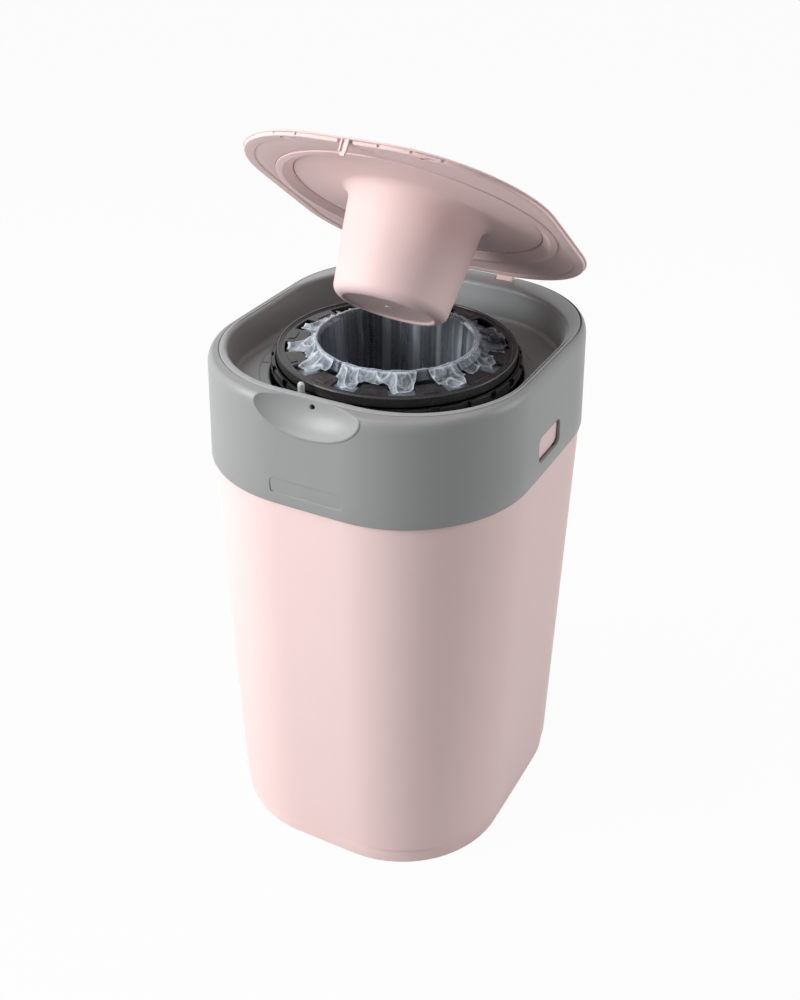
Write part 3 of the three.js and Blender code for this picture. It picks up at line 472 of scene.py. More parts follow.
def film_material(name, thin, thick, crease, stretch=1.0, shine=0.5):
    """Thin film: mostly clear, milky where it folds and where its mesh carries painted light, with soft
    glints along its creases.
    """
    material, tree = new_material(name)
    tree.nodes.clear()
    out = add(tree, "ShaderNodeOutputMaterial")
    coords = add(tree, "ShaderNodeTexCoord")
    place = add(tree, "ShaderNodeMapping", Scale=(1.0, 1.0, stretch))
    tree.links.new(coords.outputs["Object"], place.inputs["Vector"])
    crinkle = add(tree, "ShaderNodeTexNoise", Scale=crease, Detail=5.0, Roughness=0.6, Distortion=0.5)
    folds = add(tree, "ShaderNodeTexVoronoi", Scale=crease / 2, feature="DISTANCE_TO_EDGE")
    for pattern in (crinkle, folds):
        tree.links.new(place.outputs["Vector"], pattern.inputs["Vector"])
    bump = add(tree, "ShaderNodeBump", Strength=0.6, Distance=0.0014)
    height = times(tree, folds.outputs["Distance"], 0.5, plus=crinkle.outputs["Fac"])
    tree.links.new(height, bump.inputs["Height"])
    clear = add(tree, "ShaderNodeBsdfTransparent", Color=(0.9, 0.94, 0.98, 1))
    milk = add(tree, "ShaderNodeBsdfDiffuse")
    glow = add(tree, "ShaderNodeBsdfTranslucent")
    gloss = add(tree, "ShaderNodeBsdfGlossy", Roughness=0.28)
    for shader in (milk, glow, gloss):
        shader.inputs["Color"].default_value = linear(0xE6F0FA)
        tree.links.new(bump.outputs["Normal"], shader.inputs["Normal"])
    body = mixed(tree, 0.3, milk, glow)
    # Milkier where the milk_and_painted_light attribute is high: at folds, and as painted light on the side
    # the lamps light.
    milk_and_painted_light = add(tree, "ShaderNodeAttribute", attribute_name="milk_and_painted_light")
    veil = spread(tree, crinkle.outputs["Fac"], thin, thick, 0.36, 0.66)
    cover = times(tree, milk_and_painted_light.outputs["Fac"], 0.6, plus=veil, clamp=True)
    facing = add(tree, "ShaderNodeFresnel", IOR=1.3)
    tree.links.new(bump.outputs["Normal"], facing.inputs["Normal"])
    glint = times(tree, facing.outputs[0], shine)
    film = mixed(tree, glint, mixed(tree, cover, clear, body), gloss)
    tree.links.new(film.outputs[0], out.inputs["Surface"])
    return material


def metal(name, colour, rough):
    material, tree = new_material(name)
    bsdf = tree.nodes["Principled BSDF"]
    fine = noise_over(tree, Scale=900.0, Detail=3.0)
    tree.links.new(spread(tree, fine, rough - 0.08, rough + 0.1), bsdf.inputs["Roughness"])
    bsdf.inputs["Base Color"].default_value = linear(colour)
    bsdf.inputs["Metallic"].default_value = 1.0
    return material


PINK = plastic("pink_plastic", 0xF7DCDA, rough=0.52, grain=0.05, tint=0.01, edge=0.6, specular=0.3)
GREY = plastic("grey_plastic", 0x989999, rough=0.4, grain=0.06, tint=0.015, specular=0.5)
# The liner's grey is partly painted light: lighter and bluer than the collar's grey, to stand in for light
# inside the basin and cancel the pink bounce from the lid.
LINER_WITH_PAINTED_LIGHT = plastic("liner_plastic_with_painted_light", 0xA4A8A9, rough=0.4, grain=0.06, tint=0.015, specular=0.5)
PALE = plastic("pale_plastic", 0xD2D2D1, rough=0.4, grain=0.03, tint=0.015, edge=0.4)
BLACK = plastic("black_plastic", 0x0D0D0E, rough=0.2, grain=0.015, tint=0.05, edge=0.8, specular=0.5)
SATIN = plastic("cover_plastic", 0x2B2B2C, rough=0.27, grain=0.03, tint=0.06, edge=0.4, specular=0.5)
SHEET_FILM = film_material("film_sheets", 0.1, 0.5, crease=75.0, shine=0.7)
BORE_FILM = film_material("film_bore", 0.04, 0.34, crease=48.0, stretch=0.03, shine=0.35)
PACK_FILM = film_material("folded_film", 0.4, 1.0, crease=320.0)
STEEL = metal("steel", 0xB5B5B3, 0.32)


def dress(obj, material, body, node):
    obj.data.materials.clear()
    obj.data.materials.append(material)
    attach(obj, body)
    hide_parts(node)


# Tub.
def make_tub():
    wall, setback, floor_z, fillet = 2.5, 1.8, 5.6, 8.0
    band, band_z, band_step = 8.5, 17.0, 1.7
    foot, foot_width = 3.0, 11.0
    neck, taper, neck_z = COLLAR_WALL + FIT, 1.5, SHOULDER_Z + NECK_HEIGHT
    profile = soften([
        (band + foot_width + foot, foot), (band + foot_width, 0.0, 1.0),
        *arc(band + foot, foot, foot, foot, -90, -180, 6),
        (band + 0.9, band_z - 0.6, 0.4), (band + 0.6, band_z + 0.5, 0.3),
        (band - band_step, band_z + 0.7, 0.6), (setback, SHOULDER_Z, 0.7),
        (neck, SHOULDER_Z, 0.3), (neck + taper, neck_z, 0.9), (neck + taper + wall, neck_z, 0.9),
        (neck + wall, SHOULDER_Z, 1.0), (setback + wall, SHOULDER_Z - 2 * wall, 1.0),
        (band - band_step + wall, band_z + band_step, 1.0), (band + wall, band_z, 1.0),
        *arc(band + wall + fillet, floor_z + fillet, fillet, fillet, 180, 270),
    ], closed=False)
    tub = loft("tub_shell", plan_rings(profile))
    slot_half, slot_rise = WINDOW["length"] / 2 - 0.5, 1.6
    inner = PLAN["half_width"] - neck - taper - 2 * wall
    carve(tub, both_sides(inner, PLAN["half_width"], lambda x0, x1: box(
        "slot", (x0, WINDOW["y"] - slot_half, SHOULDER_Z + slot_rise),
        (x1, WINDOW["y"] + slot_half, neck_z + OVERRUN))))
    dress(tub, PINK, "tub", "tub")


# Collar shell and its finger scoop.
def collar_inset(z):
    return COLLAR_TAPER * (z - COLLAR_Z) / COLLAR_HEIGHT


def scoop(extra):
    radii = (SCOOP_HALF + extra, SCOOP_REACH + extra, SCOOP_DEPTH + extra)
    return ellipsoid("scoop", (0, SCOOP_Y, RIM_Z), radii)


def hinge_slots():
    half, reach = KNUCKLE_WIDTH / 2 + KNUCKLE_CLEAR, KNUCKLE_RADIUS + KNUCKLE_CLEAR
    return both_sides(HINGE_X - half, HINGE_X + half, lambda x0, x1: box(
        "slot", (x0, HINGE_Y - reach, HINGE_Z - reach), (x1, PLAN["back"] + OVERRUN, RIM_Z + OVERRUN)))


def hinge_bores(end):
    """Rods along the hinge axis, past both ends of its lugs or knuckles."""
    return both_sides(HINGE_X - end, HINGE_X + end, lambda x0, x1: rod(
        "bore", (x0, HINGE_Y, HINGE_Z), (x1, HINGE_Y, HINGE_Z), PIN_HOLE))


def pawl_pivot(half, radius):
    return rod("pivot", (PAWL_CIRCLE, CASSETTE_Y - half, PAWL_PIVOT_Z),
               (PAWL_CIRCLE, CASSETTE_Y + half, PAWL_PIVOT_Z), radius)


def make_collar():
    edge_across, edge_down, low_edge = 4.6, 9.0, 0.6
    ledge, ledge_thickness = 2.6, 2.4
    edge_z, ledge_low = RIM_Z - edge_down, LEDGE_Z - ledge_thickness
    edge_inset, ledge_inset = collar_inset(edge_z), collar_inset(ledge_low)
    outer = [(0.5, COLLAR_Z), (0.12, COLLAR_Z + 0.15), (0.0, COLLAR_Z + low_edge)]
    wall_low, wall_high = COLLAR_Z + 20, edge_z - 10
    outer += [(collar_inset(z), z) for z in np.linspace(wall_low, wall_high, 3)]
    outer += arc(edge_inset + edge_across, edge_z, edge_across, edge_down, 180, 90, 16)
    seam = soften([(-0.9, RIM_Z), (0.0, RIM_Z, 0.55), (0.0, LEDGE_Z, 0.4), (ledge, LEDGE_Z, 0.3),
                   (ledge, ledge_low)], closed=False)
    inner = [(ledge_inset + 2 * COLLAR_WALL, ledge_low), (ledge_inset + 3.0, ledge_low - low_edge),
             (ledge_inset + COLLAR_WALL, ledge_low - COLLAR_WALL), (COLLAR_WALL, COLLAR_Z + low_edge),
             (COLLAR_WALL - FIT, COLLAR_Z)]
    rings = plan_rings(outer) + plan_rings(seam, SEAM) + plan_rings(inner)
    shell = loft("collar_outer", rings, closed=True)

    # The bowl stays inside the shell, and its lip stands slightly proud of the shell's face.
    proud, lip_width = 0.35, 1.3
    core = loft("core", plan_rings([
        (COLLAR_WALL / 2, COLLAR_Z + 1), (edge_inset + COLLAR_WALL / 2, edge_z),
        (edge_inset + COLLAR_WALL, LEDGE_Z)]))
    face = [(collar_inset(z) - proud, z) for z in (COLLAR_Z + 45, edge_z)]
    face += arc(edge_inset + edge_across, edge_z, edge_across + proud, edge_down, 165, 90, 12)
    lip = carve(scoop(lip_width), [loft("proud", plan_rings(face))], "INTERSECT")
    carve(shell, [carve(scoop(COLLAR_WALL), [core], "INTERSECT"), lip], "UNION")

    catch_y = SEAM["front"] + COLLAR_WALL
    cutters = [scoop(0.0), rod("hole", (0, SCOOP_Y, CATCH_Z), (0, catch_y, CATCH_Z), CATCH_RADIUS)]
    window, side = rounded(WINDOW["length"], WINDOW["height"], WINDOW["corner"]), PLAN["half_width"]
    cutters += both_sides(side - OVERRUN, side + OVERRUN, lambda x0, x1: prism(
        "window", window, x1 - x0, lambda u, v, w: (x0 + w, WINDOW["y"] + u, WINDOW["z"] + v)))
    room_half, room_front, room_low = LUG_HALF + FIT, HINGE_Y - 16.1, HINGE_Z - 8.9
    cutters += both_sides(HINGE_X - room_half, HINGE_X + room_half, lambda x0, x1: box(
        "room", (x0, room_front, room_low), (x1, SEAM["back"] - FIT, LEDGE_Z + FIT)))
    plate = rounded(BADGE["length"], BADGE["height"], BADGE["corner"])
    plate_y = PLAN["front"] + collar_inset(BADGE["z"]) + BADGE["depth"]
    cutters.append(prism("badge", plate, OVERRUN, lambda u, v, w: (u, plate_y - w, BADGE["z"] + v)))
    carve(shell, cutters + hinge_slots())
    dress(shell, GREY, "upper_unit", "collar_shell")


# Liner: one skin from the flange to the round well, with its lugs, bosses and bracket.
def at_bosses(make):
    spots = []
    for k in range(4):
        angle = math.pi * (2 * k + 1) / 4
        spots.append(make(BOSS_CIRCLE * math.cos(angle), CASSETTE_Y + BOSS_CIRCLE * math.sin(angle)))
    return spots


def liner_skin():
    roll, basin, draft, chamfer = 3.2, 4.0, 1.5, 0.3
    deck_width, step_width, slope_width, mouth = 9.6, 8.4, 7.6, 1
    outside, underside = WELL_RADIUS + LINER_WALL, DECK_Z - LINER_WALL
    flange = soften([(FIT + chamfer, FLANGE_LOW), (FIT, FLANGE_LOW + chamfer), (FIT, FLANGE_Z, 0.6),
                     (3.0, FLANGE_Z)], closed=False)
    rings = plan_rings(flange, SEAM)
    rings += plan_rings(arc(-roll, FLANGE_Z - roll, roll, roll, 90, 0, 10), OPENING)
    rings += plan_rings(arc(draft + basin, DECK_Z + basin, basin, basin, 180, 270, 8), OPENING)
    rings += round_rings(soften([
        (WELL_RADIUS + deck_width, DECK_Z), (WELL_RADIUS + step_width, DECK_Z, 0.4),
        (WELL_RADIUS + slope_width, STEP_Z, 0.3), (WELL_RADIUS + mouth, STEP_Z, 0.6),
        (WELL_RADIUS, STEP_Z - mouth, 0.5), (WELL_RADIUS, WELL_FLOOR_Z), (THROAT_RADIUS, WELL_FLOOR_Z),
        (THROAT_RADIUS, THROAT_Z), (outside, THROAT_Z), (outside, underside)], closed=False))
    rings += plan_rings([(-0.9, underside), (-LINER_WALL, FLANGE_LOW)], OPENING)
    return loft("liner_skin", rings, closed=True)


def make_liner():
    liner = liner_skin()
    lug_front, lug_back, lug_low = HINGE_Y - 6.5, SEAM["back"] - 1.6, FLANGE_LOW - 5.9
    adds = both_sides(HINGE_X - LUG_HALF, HINGE_X + LUG_HALF, lambda x0, x1: box(
        "lug", (x0, lug_front, lug_low), (x1, lug_back, FLANGE_LOW + SEAT)))
    bracket_half, bracket_in, bracket_out, bracket_down, bracket_up = 8.5, 1.2, 9, 4.5, 5
    adds.append(radial_box("bracket", WELL_RADIUS + bracket_in, WELL_RADIUS + bracket_out, bracket_half,
                           PAWL_PIVOT_Z - bracket_down, PAWL_PIVOT_Z + bracket_up, PAWL_ANGLE))
    boss_z, boss_radius, core_radius = THROAT_Z - BOSS_HEIGHT, 4.2, 1.7
    adds += at_bosses(lambda x, y: rod("boss", (x, y, boss_z), (x, y, THROAT_Z + SEAT), boss_radius))
    mark_in, mark_out, mark_half, mark_rise = WELL_RADIUS + 2.2, WELL_RADIUS + 7.2, 0.5, 0.7
    for degrees in (20, 106, 160, 202, 232, 300, 337):
        adds.append(radial_box("mark", mark_in, mark_out, mark_half, STEP_Z - 0.2, STEP_Z + mark_rise,
                               math.radians(degrees)))
    carve(liner, adds, "UNION")

    slot_half, slot_out, pivot_half, pivot_hole = 3.4, PAWL_CIRCLE + 5.1, 6.8, 2.1
    cutters = hinge_slots() + hinge_bores(LUG_HALF + 1)
    cutters += at_bosses(lambda x, y: rod("core", (x, y, boss_z - 1), (x, y, THROAT_Z), core_radius))
    cutters.append(radial_box("slot", WELL_RADIUS - LINER_WALL, slot_out, slot_half,
                              PAWL_PIVOT_Z - slot_half, DECK_Z + OVERRUN, PAWL_ANGLE))
    cutters.append(move(pawl_pivot(pivot_half, pivot_hole), turned(PAWL_ANGLE)))
    carve(liner, cutters)
    # The liner's grey is partly painted light, lighter and cooler than the collar's.
    dress(liner, LINER_WITH_PAINTED_LIGHT, "upper_unit", "collar_liner")


# Turntable and cassette.
def make_turntable():
    band_z, wall, inner = TURNTABLE_TOP - 7, TURNTABLE_RADIUS - 1.9, TURNTABLE_RADIUS - 3.8
    floor_z = TURNTABLE_Z + TURNTABLE_FLOOR
    band = lathe("turntable_band", soften([
        (THROAT_RADIUS, TURNTABLE_Z, 0.4), (wall, TURNTABLE_Z, 0.8), (wall, band_z - 1.9, 0.8),
        (TURNTABLE_RADIUS, band_z, 0.6), (TURNTABLE_RADIUS, TURNTABLE_TOP, 0.9),
        (inner, TURNTABLE_TOP, 0.6), (inner, floor_z, 0.6), (THROAT_RADIUS, floor_z, 0.4)]))
    carve(band, [radial_box("notch", TURNTABLE_RADIUS - NOTCH_DEPTH, TURNTABLE_RADIUS + OVERRUN, NOTCH_HALF,
                            band_z + 2, TURNTABLE_TOP + OVERRUN, PAWL_ANGLE + 2 * math.pi * k / NOTCH_COUNT)
                 for k in range(NOTCH_COUNT)])
    dress(band, BLACK, "turntable", "turntable_ring")


def make_cassette():
    wall = 2.2
    tube, floor_z, bead = BORE_RADIUS + wall, CASSETTE_Z + wall, BEAD_RADIUS + 1
    trough = lathe("cassette_trough", soften([
        (BORE_RADIUS, CASSETTE_Z, 0.6), (CASSETTE_RADIUS, CASSETTE_Z, 1.2),
        (CASSETTE_RADIUS, CASSETTE_TOP, 0.5), (CASSETTE_RADIUS - wall, CASSETTE_TOP, 0.5),
        (CASSETTE_RADIUS - wall, floor_z, 1.0), (tube, floor_z, 1.0), (tube, BEAD_Z - 6, 0.8),
        (bead, BEAD_Z - 3, 0.8), (bead, BEAD_Z, 0.9), (BORE_RADIUS, BEAD_Z, 0.9)]))
    dress(trough, BLACK, "turntable", "cassette_tub")


def make_cover():
    skirt, lip, land = CASSETTE_RADIUS + FIT, CASSETTE_RADIUS + 2.3, CASSETTE_RADIUS - 4.5
    low, top, groove, step = LIP_Z - 4.4, LIP_Z + 3.3, 0.8, LIP_Z + TAB_THICKNESS
    cover = lathe("cassette_lid", soften([
        (skirt, low, 0.3), (lip, low, 0.5), (lip, top - 0.9, 0.9), (lip - 0.9, top, 0.8),
        (lip - 2.4, top, 0.4), (lip - 2.8, top - groove, 0.3), (lip - 3.9, top - groove, 0.3),
        (lip - 4.6, step, 0.4), (land, step, 0.3), (land, LIP_Z, 0.3), (skirt, LIP_Z, 0.3)]))
    root, tip, root_half, tip_half, corner = land + 2.25, land - 15.75, 13.5, 9.0, 3.2
    tab = soften([(root, -root_half), (root, root_half), (tip, tip_half, corner), (tip, -tip_half, corner)],
                 steps=6)
    pad_out, pad_in, pad_z, pad_thickness = root - 3, root - 9, LIP_Z + 1.0, 1.5
    pad = soften([(pad_out, -7.5, 1.0), (pad_out, 7.5, 1.0), (pad_in, 6.4, 1.0), (pad_in, -6.4, 1.0)])
    adds = []
    for k in range(TAB_COUNT):
        turn = turned(math.pi * (2 * k + 1) / TAB_COUNT)
        for shape, base, thick in ((tab, LIP_Z, TAB_THICKNESS), (pad, pad_z, pad_thickness)):
            block = prism("block", shape, thick, lambda u, v, w: (u, v + CASSETTE_Y, base + w))
            adds.append(move(block, turn))
    carve(cover, adds, "UNION")
    dress(cover, SATIN, "turntable", "cassette_cover")


# Film.
def waves(turns, seed, low, high, count):
    """Smooth periodic noise round the axis, about -1 to 1."""
    rng = np.random.default_rng(seed)
    out = np.zeros_like(turns)
    for k in rng.integers(low, high, count):
        out += rng.normal() * (low / k) * np.cos(k * turns + rng.uniform(0, 2 * math.pi))
    return out / (np.abs(out).max() + 1e-9)


def pleats(turns):
    return waves(turns, 3, 18, 46, 14)


def fold(points, size, seed):
    """Sharp folds, 0 to 1 with 1 on the crease, at points in millimetres."""
    shift = Vector((seed, 2.7 * seed, -1.3 * seed))
    values = [1 - min(1, abs(noise.noise(Vector(p) / size + shift)) * 2.6) for p in points]
    return np.array(values)


def grid_object(name, grid, milk_and_painted_light, wrap=False):
    """Skin over a grid of points, with how milky it is at each, painted light included."""
    rows, count = grid.shape[:2]
    if wrap:
        faces = [face[::-1] for k in range(rows - 1) for face in band_faces(k, k + 1, count)]
    else:
        faces = [(k * count + i, (k + 1) * count + i, (k + 1) * count + i + 1, k * count + i + 1)
                 for k in range(rows - 1) for i in range(count - 1)]
    obj = mesh_object(name, grid.reshape(-1, 3), faces, 0)
    obj.data.attributes.new("milk_and_painted_light", "FLOAT", "POINT").data.foreach_set("value", milk_and_painted_light.ravel())
    return obj


def make_film():
    """Film over the bead, down the bore, through the gripper and knotted below."""
    count = 960
    turns = even_turns(count)
    pleat = pleats(turns)
    fine = waves(turns, 8, 50, 130, 18)
    rows = []

    def row(radius, z):
        radius = radius * np.ones(count)
        rows.append(np.c_[radius * np.cos(turns), CASSETTE_Y + radius * np.sin(turns), z * np.ones(count)])

    # Over the bead, which is bright on its crest.
    bead_across, bead_up, gap = 1.7, 1.6, 1.6
    over = [(BEAD_RADIUS + 3.6, BEAD_Z - 6.8), (BEAD_RADIUS + 2.0, BEAD_Z - 3.4)]
    over += arc(BEAD_RADIUS, BEAD_Z - 0.6, bead_across, bead_up, 0, 165, 12)
    crest = slice(7, 11)
    for radius, z in over:
        row(radius + 0.25 * fine, z + 0.5 * pleat + 0.3 * fine)
    # Down the bore, with pleats that soon reach their full depth and drift round.
    bore_drop, bore_lean, drift, pleat_depth, fine_depth = 64.0, 0.3, 0.2, 2.0, 0.35
    hang = BORE_RADIUS - gap
    for t in np.linspace(0, 1, 44):
        depth = (0.3 + pleat_depth * min(1, 2.5 * t)) * (0.5 + 0.5 * pleats(turns + drift * t))
        row(hang - bore_lean * t - depth - fine_depth * (0.5 + 0.5 * fine), BEAD_Z - gap - bore_drop * t)
    # In to the waist that the gripper makes.
    waist, waist_z, waist_drop, shoulder, twist, fold_depth = 19.0, CASSETTE_Z + 1.3, 28.0, 1.2, 0.9, 2.6
    for t in np.linspace(0.05, 1, 26):
        base = hang - shoulder + (waist - hang + shoulder) * t ** 0.9
        depth = (1 - 0.4 * t) * fold_depth * (0.5 + 0.5 * pleats(turns + twist * t))
        row(base - depth, waist_z - waist_drop * t)
    # Radius, drop below the cassette and depth of the creases: waist, neck, knot and tail.
    knot = [(15.5, 33.7, 0.8), (12.2, 40.7, 0.75), (8.0, 48.7, 0.5), (4.4, 55.1, 0.25), (6.4, 58.7, 0.4),
            (8.6, 62.1, 0.45), (8.4, 66.1, 0.45), (6.2, 69.3, 0.4), (7.2, 72.3, 0.6)]
    for radius, drop, depth in knot:
        row(radius + depth * waves(turns + 0.1 * drop, 9, 5, 14, 8), CASSETTE_Z - drop)
    grid = np.array(rows)

    # Painted light: bright makes the film down the bore milkier on the side towards light_from and duller
    # round the far side.
    light_from = math.radians(25)
    streak = np.clip(waves(turns, 17, 9, 60, 16), 0, 1) ** 1.5
    bright = 0.45 + 0.85 * np.clip(np.cos(turns - light_from), 0, 1) ** 1.5
    crumple = np.clip(waves(turns, 23, 40, 110, 24), 0, 1)
    milk_and_painted_light = np.zeros(grid.shape[:2])
    milk_and_painted_light[:len(over)] = 0.15 * np.clip(fine + pleat, -1, 1)
    milk_and_painted_light[crest] = 0.85 + 0.15 * fine
    milk_and_painted_light[len(over):] = (0.1 + 1.9 * streak + 0.5 * crumple) * bright
    film = grid_object("film_drape", grid, milk_and_painted_light, wrap=True)
    dress(film, BORE_FILM, "turntable", "film_tube")


def make_sheets():
    """Crumpled film that spreads from the bead over the tabs' tips and sinks between the tabs."""
    rng = np.random.default_rng(12)
    t = np.linspace(0, 1, 40)[:, None]
    tab_top = LIP_Z + TAB_THICKNESS
    wander, narrowing, rag_in, rag_out = 0.07, 0.12, 2.4, 1.2
    broad_size, broad_height, close_size, close_height = 10.5, 3.0, 5.5, 0.9
    root, clear, sink = 1.1, 0.7, 1.7
    for k, (start, end, on_tabs, in_gaps, milk) in enumerate(SHEETS):
        # Plan: sides that wander, and an outer edge that is jagged and longer in the gaps.
        across = 2 * (end - start)
        u = np.linspace(-1, 1, across)
        middle, half = math.radians(start + end) / 2, math.radians(end - start) / 2
        side = np.interp(u, np.linspace(-1, 1, 5), rng.uniform(-wander, wander, 5))
        turn = middle + half * u * (1 - narrowing * t) + side * t
        gap = np.clip(np.cos(TAB_COUNT * turn) * 1.6, 0, 1)
        rags = rng.uniform(-rag_in, rag_out, across // 5)
        reach = on_tabs + (in_gaps - on_tabs) * gap + np.interp(u, np.linspace(-1, 1, len(rags)), rags)
        radius = BEAD_RADIUS + root + (reach + 0.8) * t
        x, y = radius * np.cos(turn), radius * np.sin(turn)
        # Height: down from the bead to the tabs, into the gaps, and up on broad and close folds.
        spots = np.stack([turn * 75, radius / 1.7, np.full(turn.shape, 7.0 * k)], -1).reshape(-1, 3)
        broad = fold(spots, broad_size, 4.1 + k).reshape(turn.shape)
        close = fold(np.stack([x, y, 0 * x], -1).reshape(-1, 3), close_size, 9.3).reshape(turn.shape)
        drop = (BEAD_Z - tab_top - 0.4) * (1 - t) ** 2.6
        sag = sink * gap * np.clip(2.2 * t, 0, 1)
        lift = (broad_height * broad + close_height * close) * np.clip(6 * t, 0.1, 1) * (1 - 0.3 * t)
        z = tab_top + clear + drop - sag + lift * (0.25 + 0.75 * (1 - np.abs(u) ** 8))
        # Milky along the creases and at the free edges, and over the whole sheet by its milk, which is
        # partly painted light.
        creases = 1.2 * np.clip((broad - 0.78) * 5, 0, 1) + 0.7 * np.clip((close - 0.8) * 5, 0, 1)
        edges = 0.8 * np.clip(8 * t - 7, 0, 1) + 0.8 * np.clip(12 * np.abs(u) - 11, 0, 1)
        rim = np.clip(1 - 7 * t, 0, 1) + edges
        milk_and_painted_light = np.clip((0.4 + 0.6 * milk) * (creases + 1.2 * rim) + 0.6 * milk - 0.5, -1, 1.3)
        sheet = grid_object("film_sheet_%d" % (k + 1), np.stack([x, CASSETTE_Y + y, z], -1), milk_and_painted_light)
        dress(sheet, SHEET_FILM, "turntable", "film_tube")


def make_pack():
    count = 720
    turns = even_turns(count)
    ruff = waves(turns, 31, 40, 120, 20)
    inner, outer, low = BORE_RADIUS + 4, CASSETTE_RADIUS - 3.6, CASSETTE_Z + 4.3
    wall_z, crown_z = low + 45, low + 52
    profile = [(inner, low), (inner, wall_z), (inner + 1.5, crown_z - 1.5), (inner + 6, crown_z + 0.4),
               (inner + 12, crown_z - 0.2), (inner + 18, crown_z + 0.2), (outer - 1, crown_z - 1.8),
               (outer, wall_z), (outer, low)]
    rows = []
    for k, (radius, z) in enumerate(profile):
        lift = 0.9 if z > wall_z else 0.15
        rows.append(ring(circle(radius, turns), z))
        rows[-1][:, 2] += lift * ruff * (1 if k % 2 else -1)
    pack = loft("film_folds", rows, closed=True, sharp=0)
    dress(pack, PACK_FILM, "turntable", "film_pack")


# Click pawl.
def make_pawl():
    radius, pivot_half, pivot_radius = 2.6, 6.5, 1.8
    profile = [(0, PAWL_PIVOT_Z - radius)] + arc(0, PAWL_PIVOT_Z, radius, radius, -80, 0)
    profile += arc(0, PAWL_TOP - radius, radius, radius, 0, 80, 10) + [(0, PAWL_TOP)]
    peg = lathe("pawl_peg", profile, closed=False, around=40)
    move(peg, Matrix.Translation((PAWL_CIRCLE, 0, 0)))
    tip, nose_z, nose_height = TURNTABLE_RADIUS - 1.8, TURNTABLE_TOP - 4.7, 4.4
    nose = [(PAWL_CIRCLE, 2.2), (tip + 0.4, 1.2), (tip, 0.6), (tip, -0.6), (tip + 0.4, -1.2),
            (PAWL_CIRCLE, -2.2)]
    adds = [prism("nose", nose, nose_height, lambda u, v, w: (u, v + CASSETTE_Y, nose_z + w)),
            pawl_pivot(pivot_half, pivot_radius)]
    move(carve(peg, adds, "UNION"), turned(PAWL_ANGLE))
    dress(peg, PALE, "click_pawl", "click_pawl")


# Lid, made shut and then opened.
def lid_skin():
    hole, skin, edge_skin = RING_INNER + 2, 2.2, 1.6
    edge, edge_rise, crown = 3.0, 1.2, 2.4
    round_z, top_z, skirt_z = LID_SPLIT + 0.5, LID_Z + 12.8, LID_Z + 9.5
    edge_z = round_z + edge_rise

    def dome(inset, radius, shares, thin, thick):
        rim, inner = outline(LID, inset), circle(radius)
        rise = [(top_z - edge_z) * math.sin(s * math.pi / 2) ** crown for s in shares]
        return [ring(rim + (inner - rim) * s, edge_z + up - thin - (thick - thin) * s)
                for s, up in zip(shares, rise)]

    rings = plan_rings([(1.0, LID_SPLIT), (0.3, LID_SPLIT + 0.05), (0.0, LID_SPLIT + 0.3)], LID)
    rings += plan_rings(arc(edge, round_z, edge, edge_rise, 180, 90, 10), LID)
    rings += dome(edge, hole + 1.6, np.linspace(0.06, 0.97, 18), 0.0, 0.0)
    rings += round_rings(soften([
        (hole + 1.5, top_z), (hole, top_z, 1.0), (hole, skirt_z, 0.4), (hole + 2.5, skirt_z)], closed=False))
    rings += dome(edge + 1.2, hole + skin, np.linspace(1.0, 0.0, 12), edge_skin, skin)
    rings += plan_rings([(skin + 0.4, LID_SPLIT + 0.05), (skin + 0.2, LID_SPLIT)], LID)
    return loft("lid_cover", rings, closed=True)


def make_lid_top():
    cover = lid_skin()
    leg_back, leg_front, leg_top = -KNUCKLE_RADIUS, -1.0, 7.1
    leg = [(leg_back, leg_top), (leg_back, 0.0)]
    leg += arc(0, 0, KNUCKLE_RADIUS, KNUCKLE_RADIUS, 190, 405, 28) + [(leg_front, leg_top)]
    half = KNUCKLE_WIDTH / 2
    adds = both_sides(HINGE_X - half, HINGE_X + half, lambda x0, x1: prism(
        "knuckle", leg, x1 - x0, lambda u, v, w: (x0 + w, HINGE_Y + u, HINGE_Z + v)))
    hook_y, hook_z = LID["front"] + 0.4, LID_Z - 8.4
    rib_x, rib_half, web_half, nub_radius, nub_length = 2.4, 0.6, 1.9, 1.3, 1.8
    back_y, web_y, nub_y = hook_y + 2.2, hook_y + 1.1, hook_y + 1.3
    for x in (-rib_x, rib_x):
        adds.append(box("rib", (x - rib_half, hook_y, hook_z + 3), (x + rib_half, back_y, LID_SPLIT + 0.4)))
    adds.append(box("web", (-web_half, web_y, hook_z + 0.4), (web_half, back_y, LID_SPLIT + 0.2)))
    adds.append(rod("nub", (0, nub_y, CATCH_Z), (0, nub_y + nub_length, CATCH_Z), nub_radius))
    carve(cover, adds, "UNION")
    move(carve(cover, hinge_bores(OVERRUN)), OPENED)
    dress(cover, PINK, "lid", "lid_top")


def lid_edge(x, inset):
    """Place and turn of the lid's front edge at x."""
    points = outline(LID, inset, np.radians(np.linspace(200, 340, 561)))
    i = int(np.abs(points[:, 0] - x).argmin())
    along = points[i + 1] - points[i - 1]
    turn = Matrix.Rotation(math.atan2(along[1], along[0]), 4, "Z")
    return Matrix.Translation((points[i][0], points[i][1], 0)) @ turn


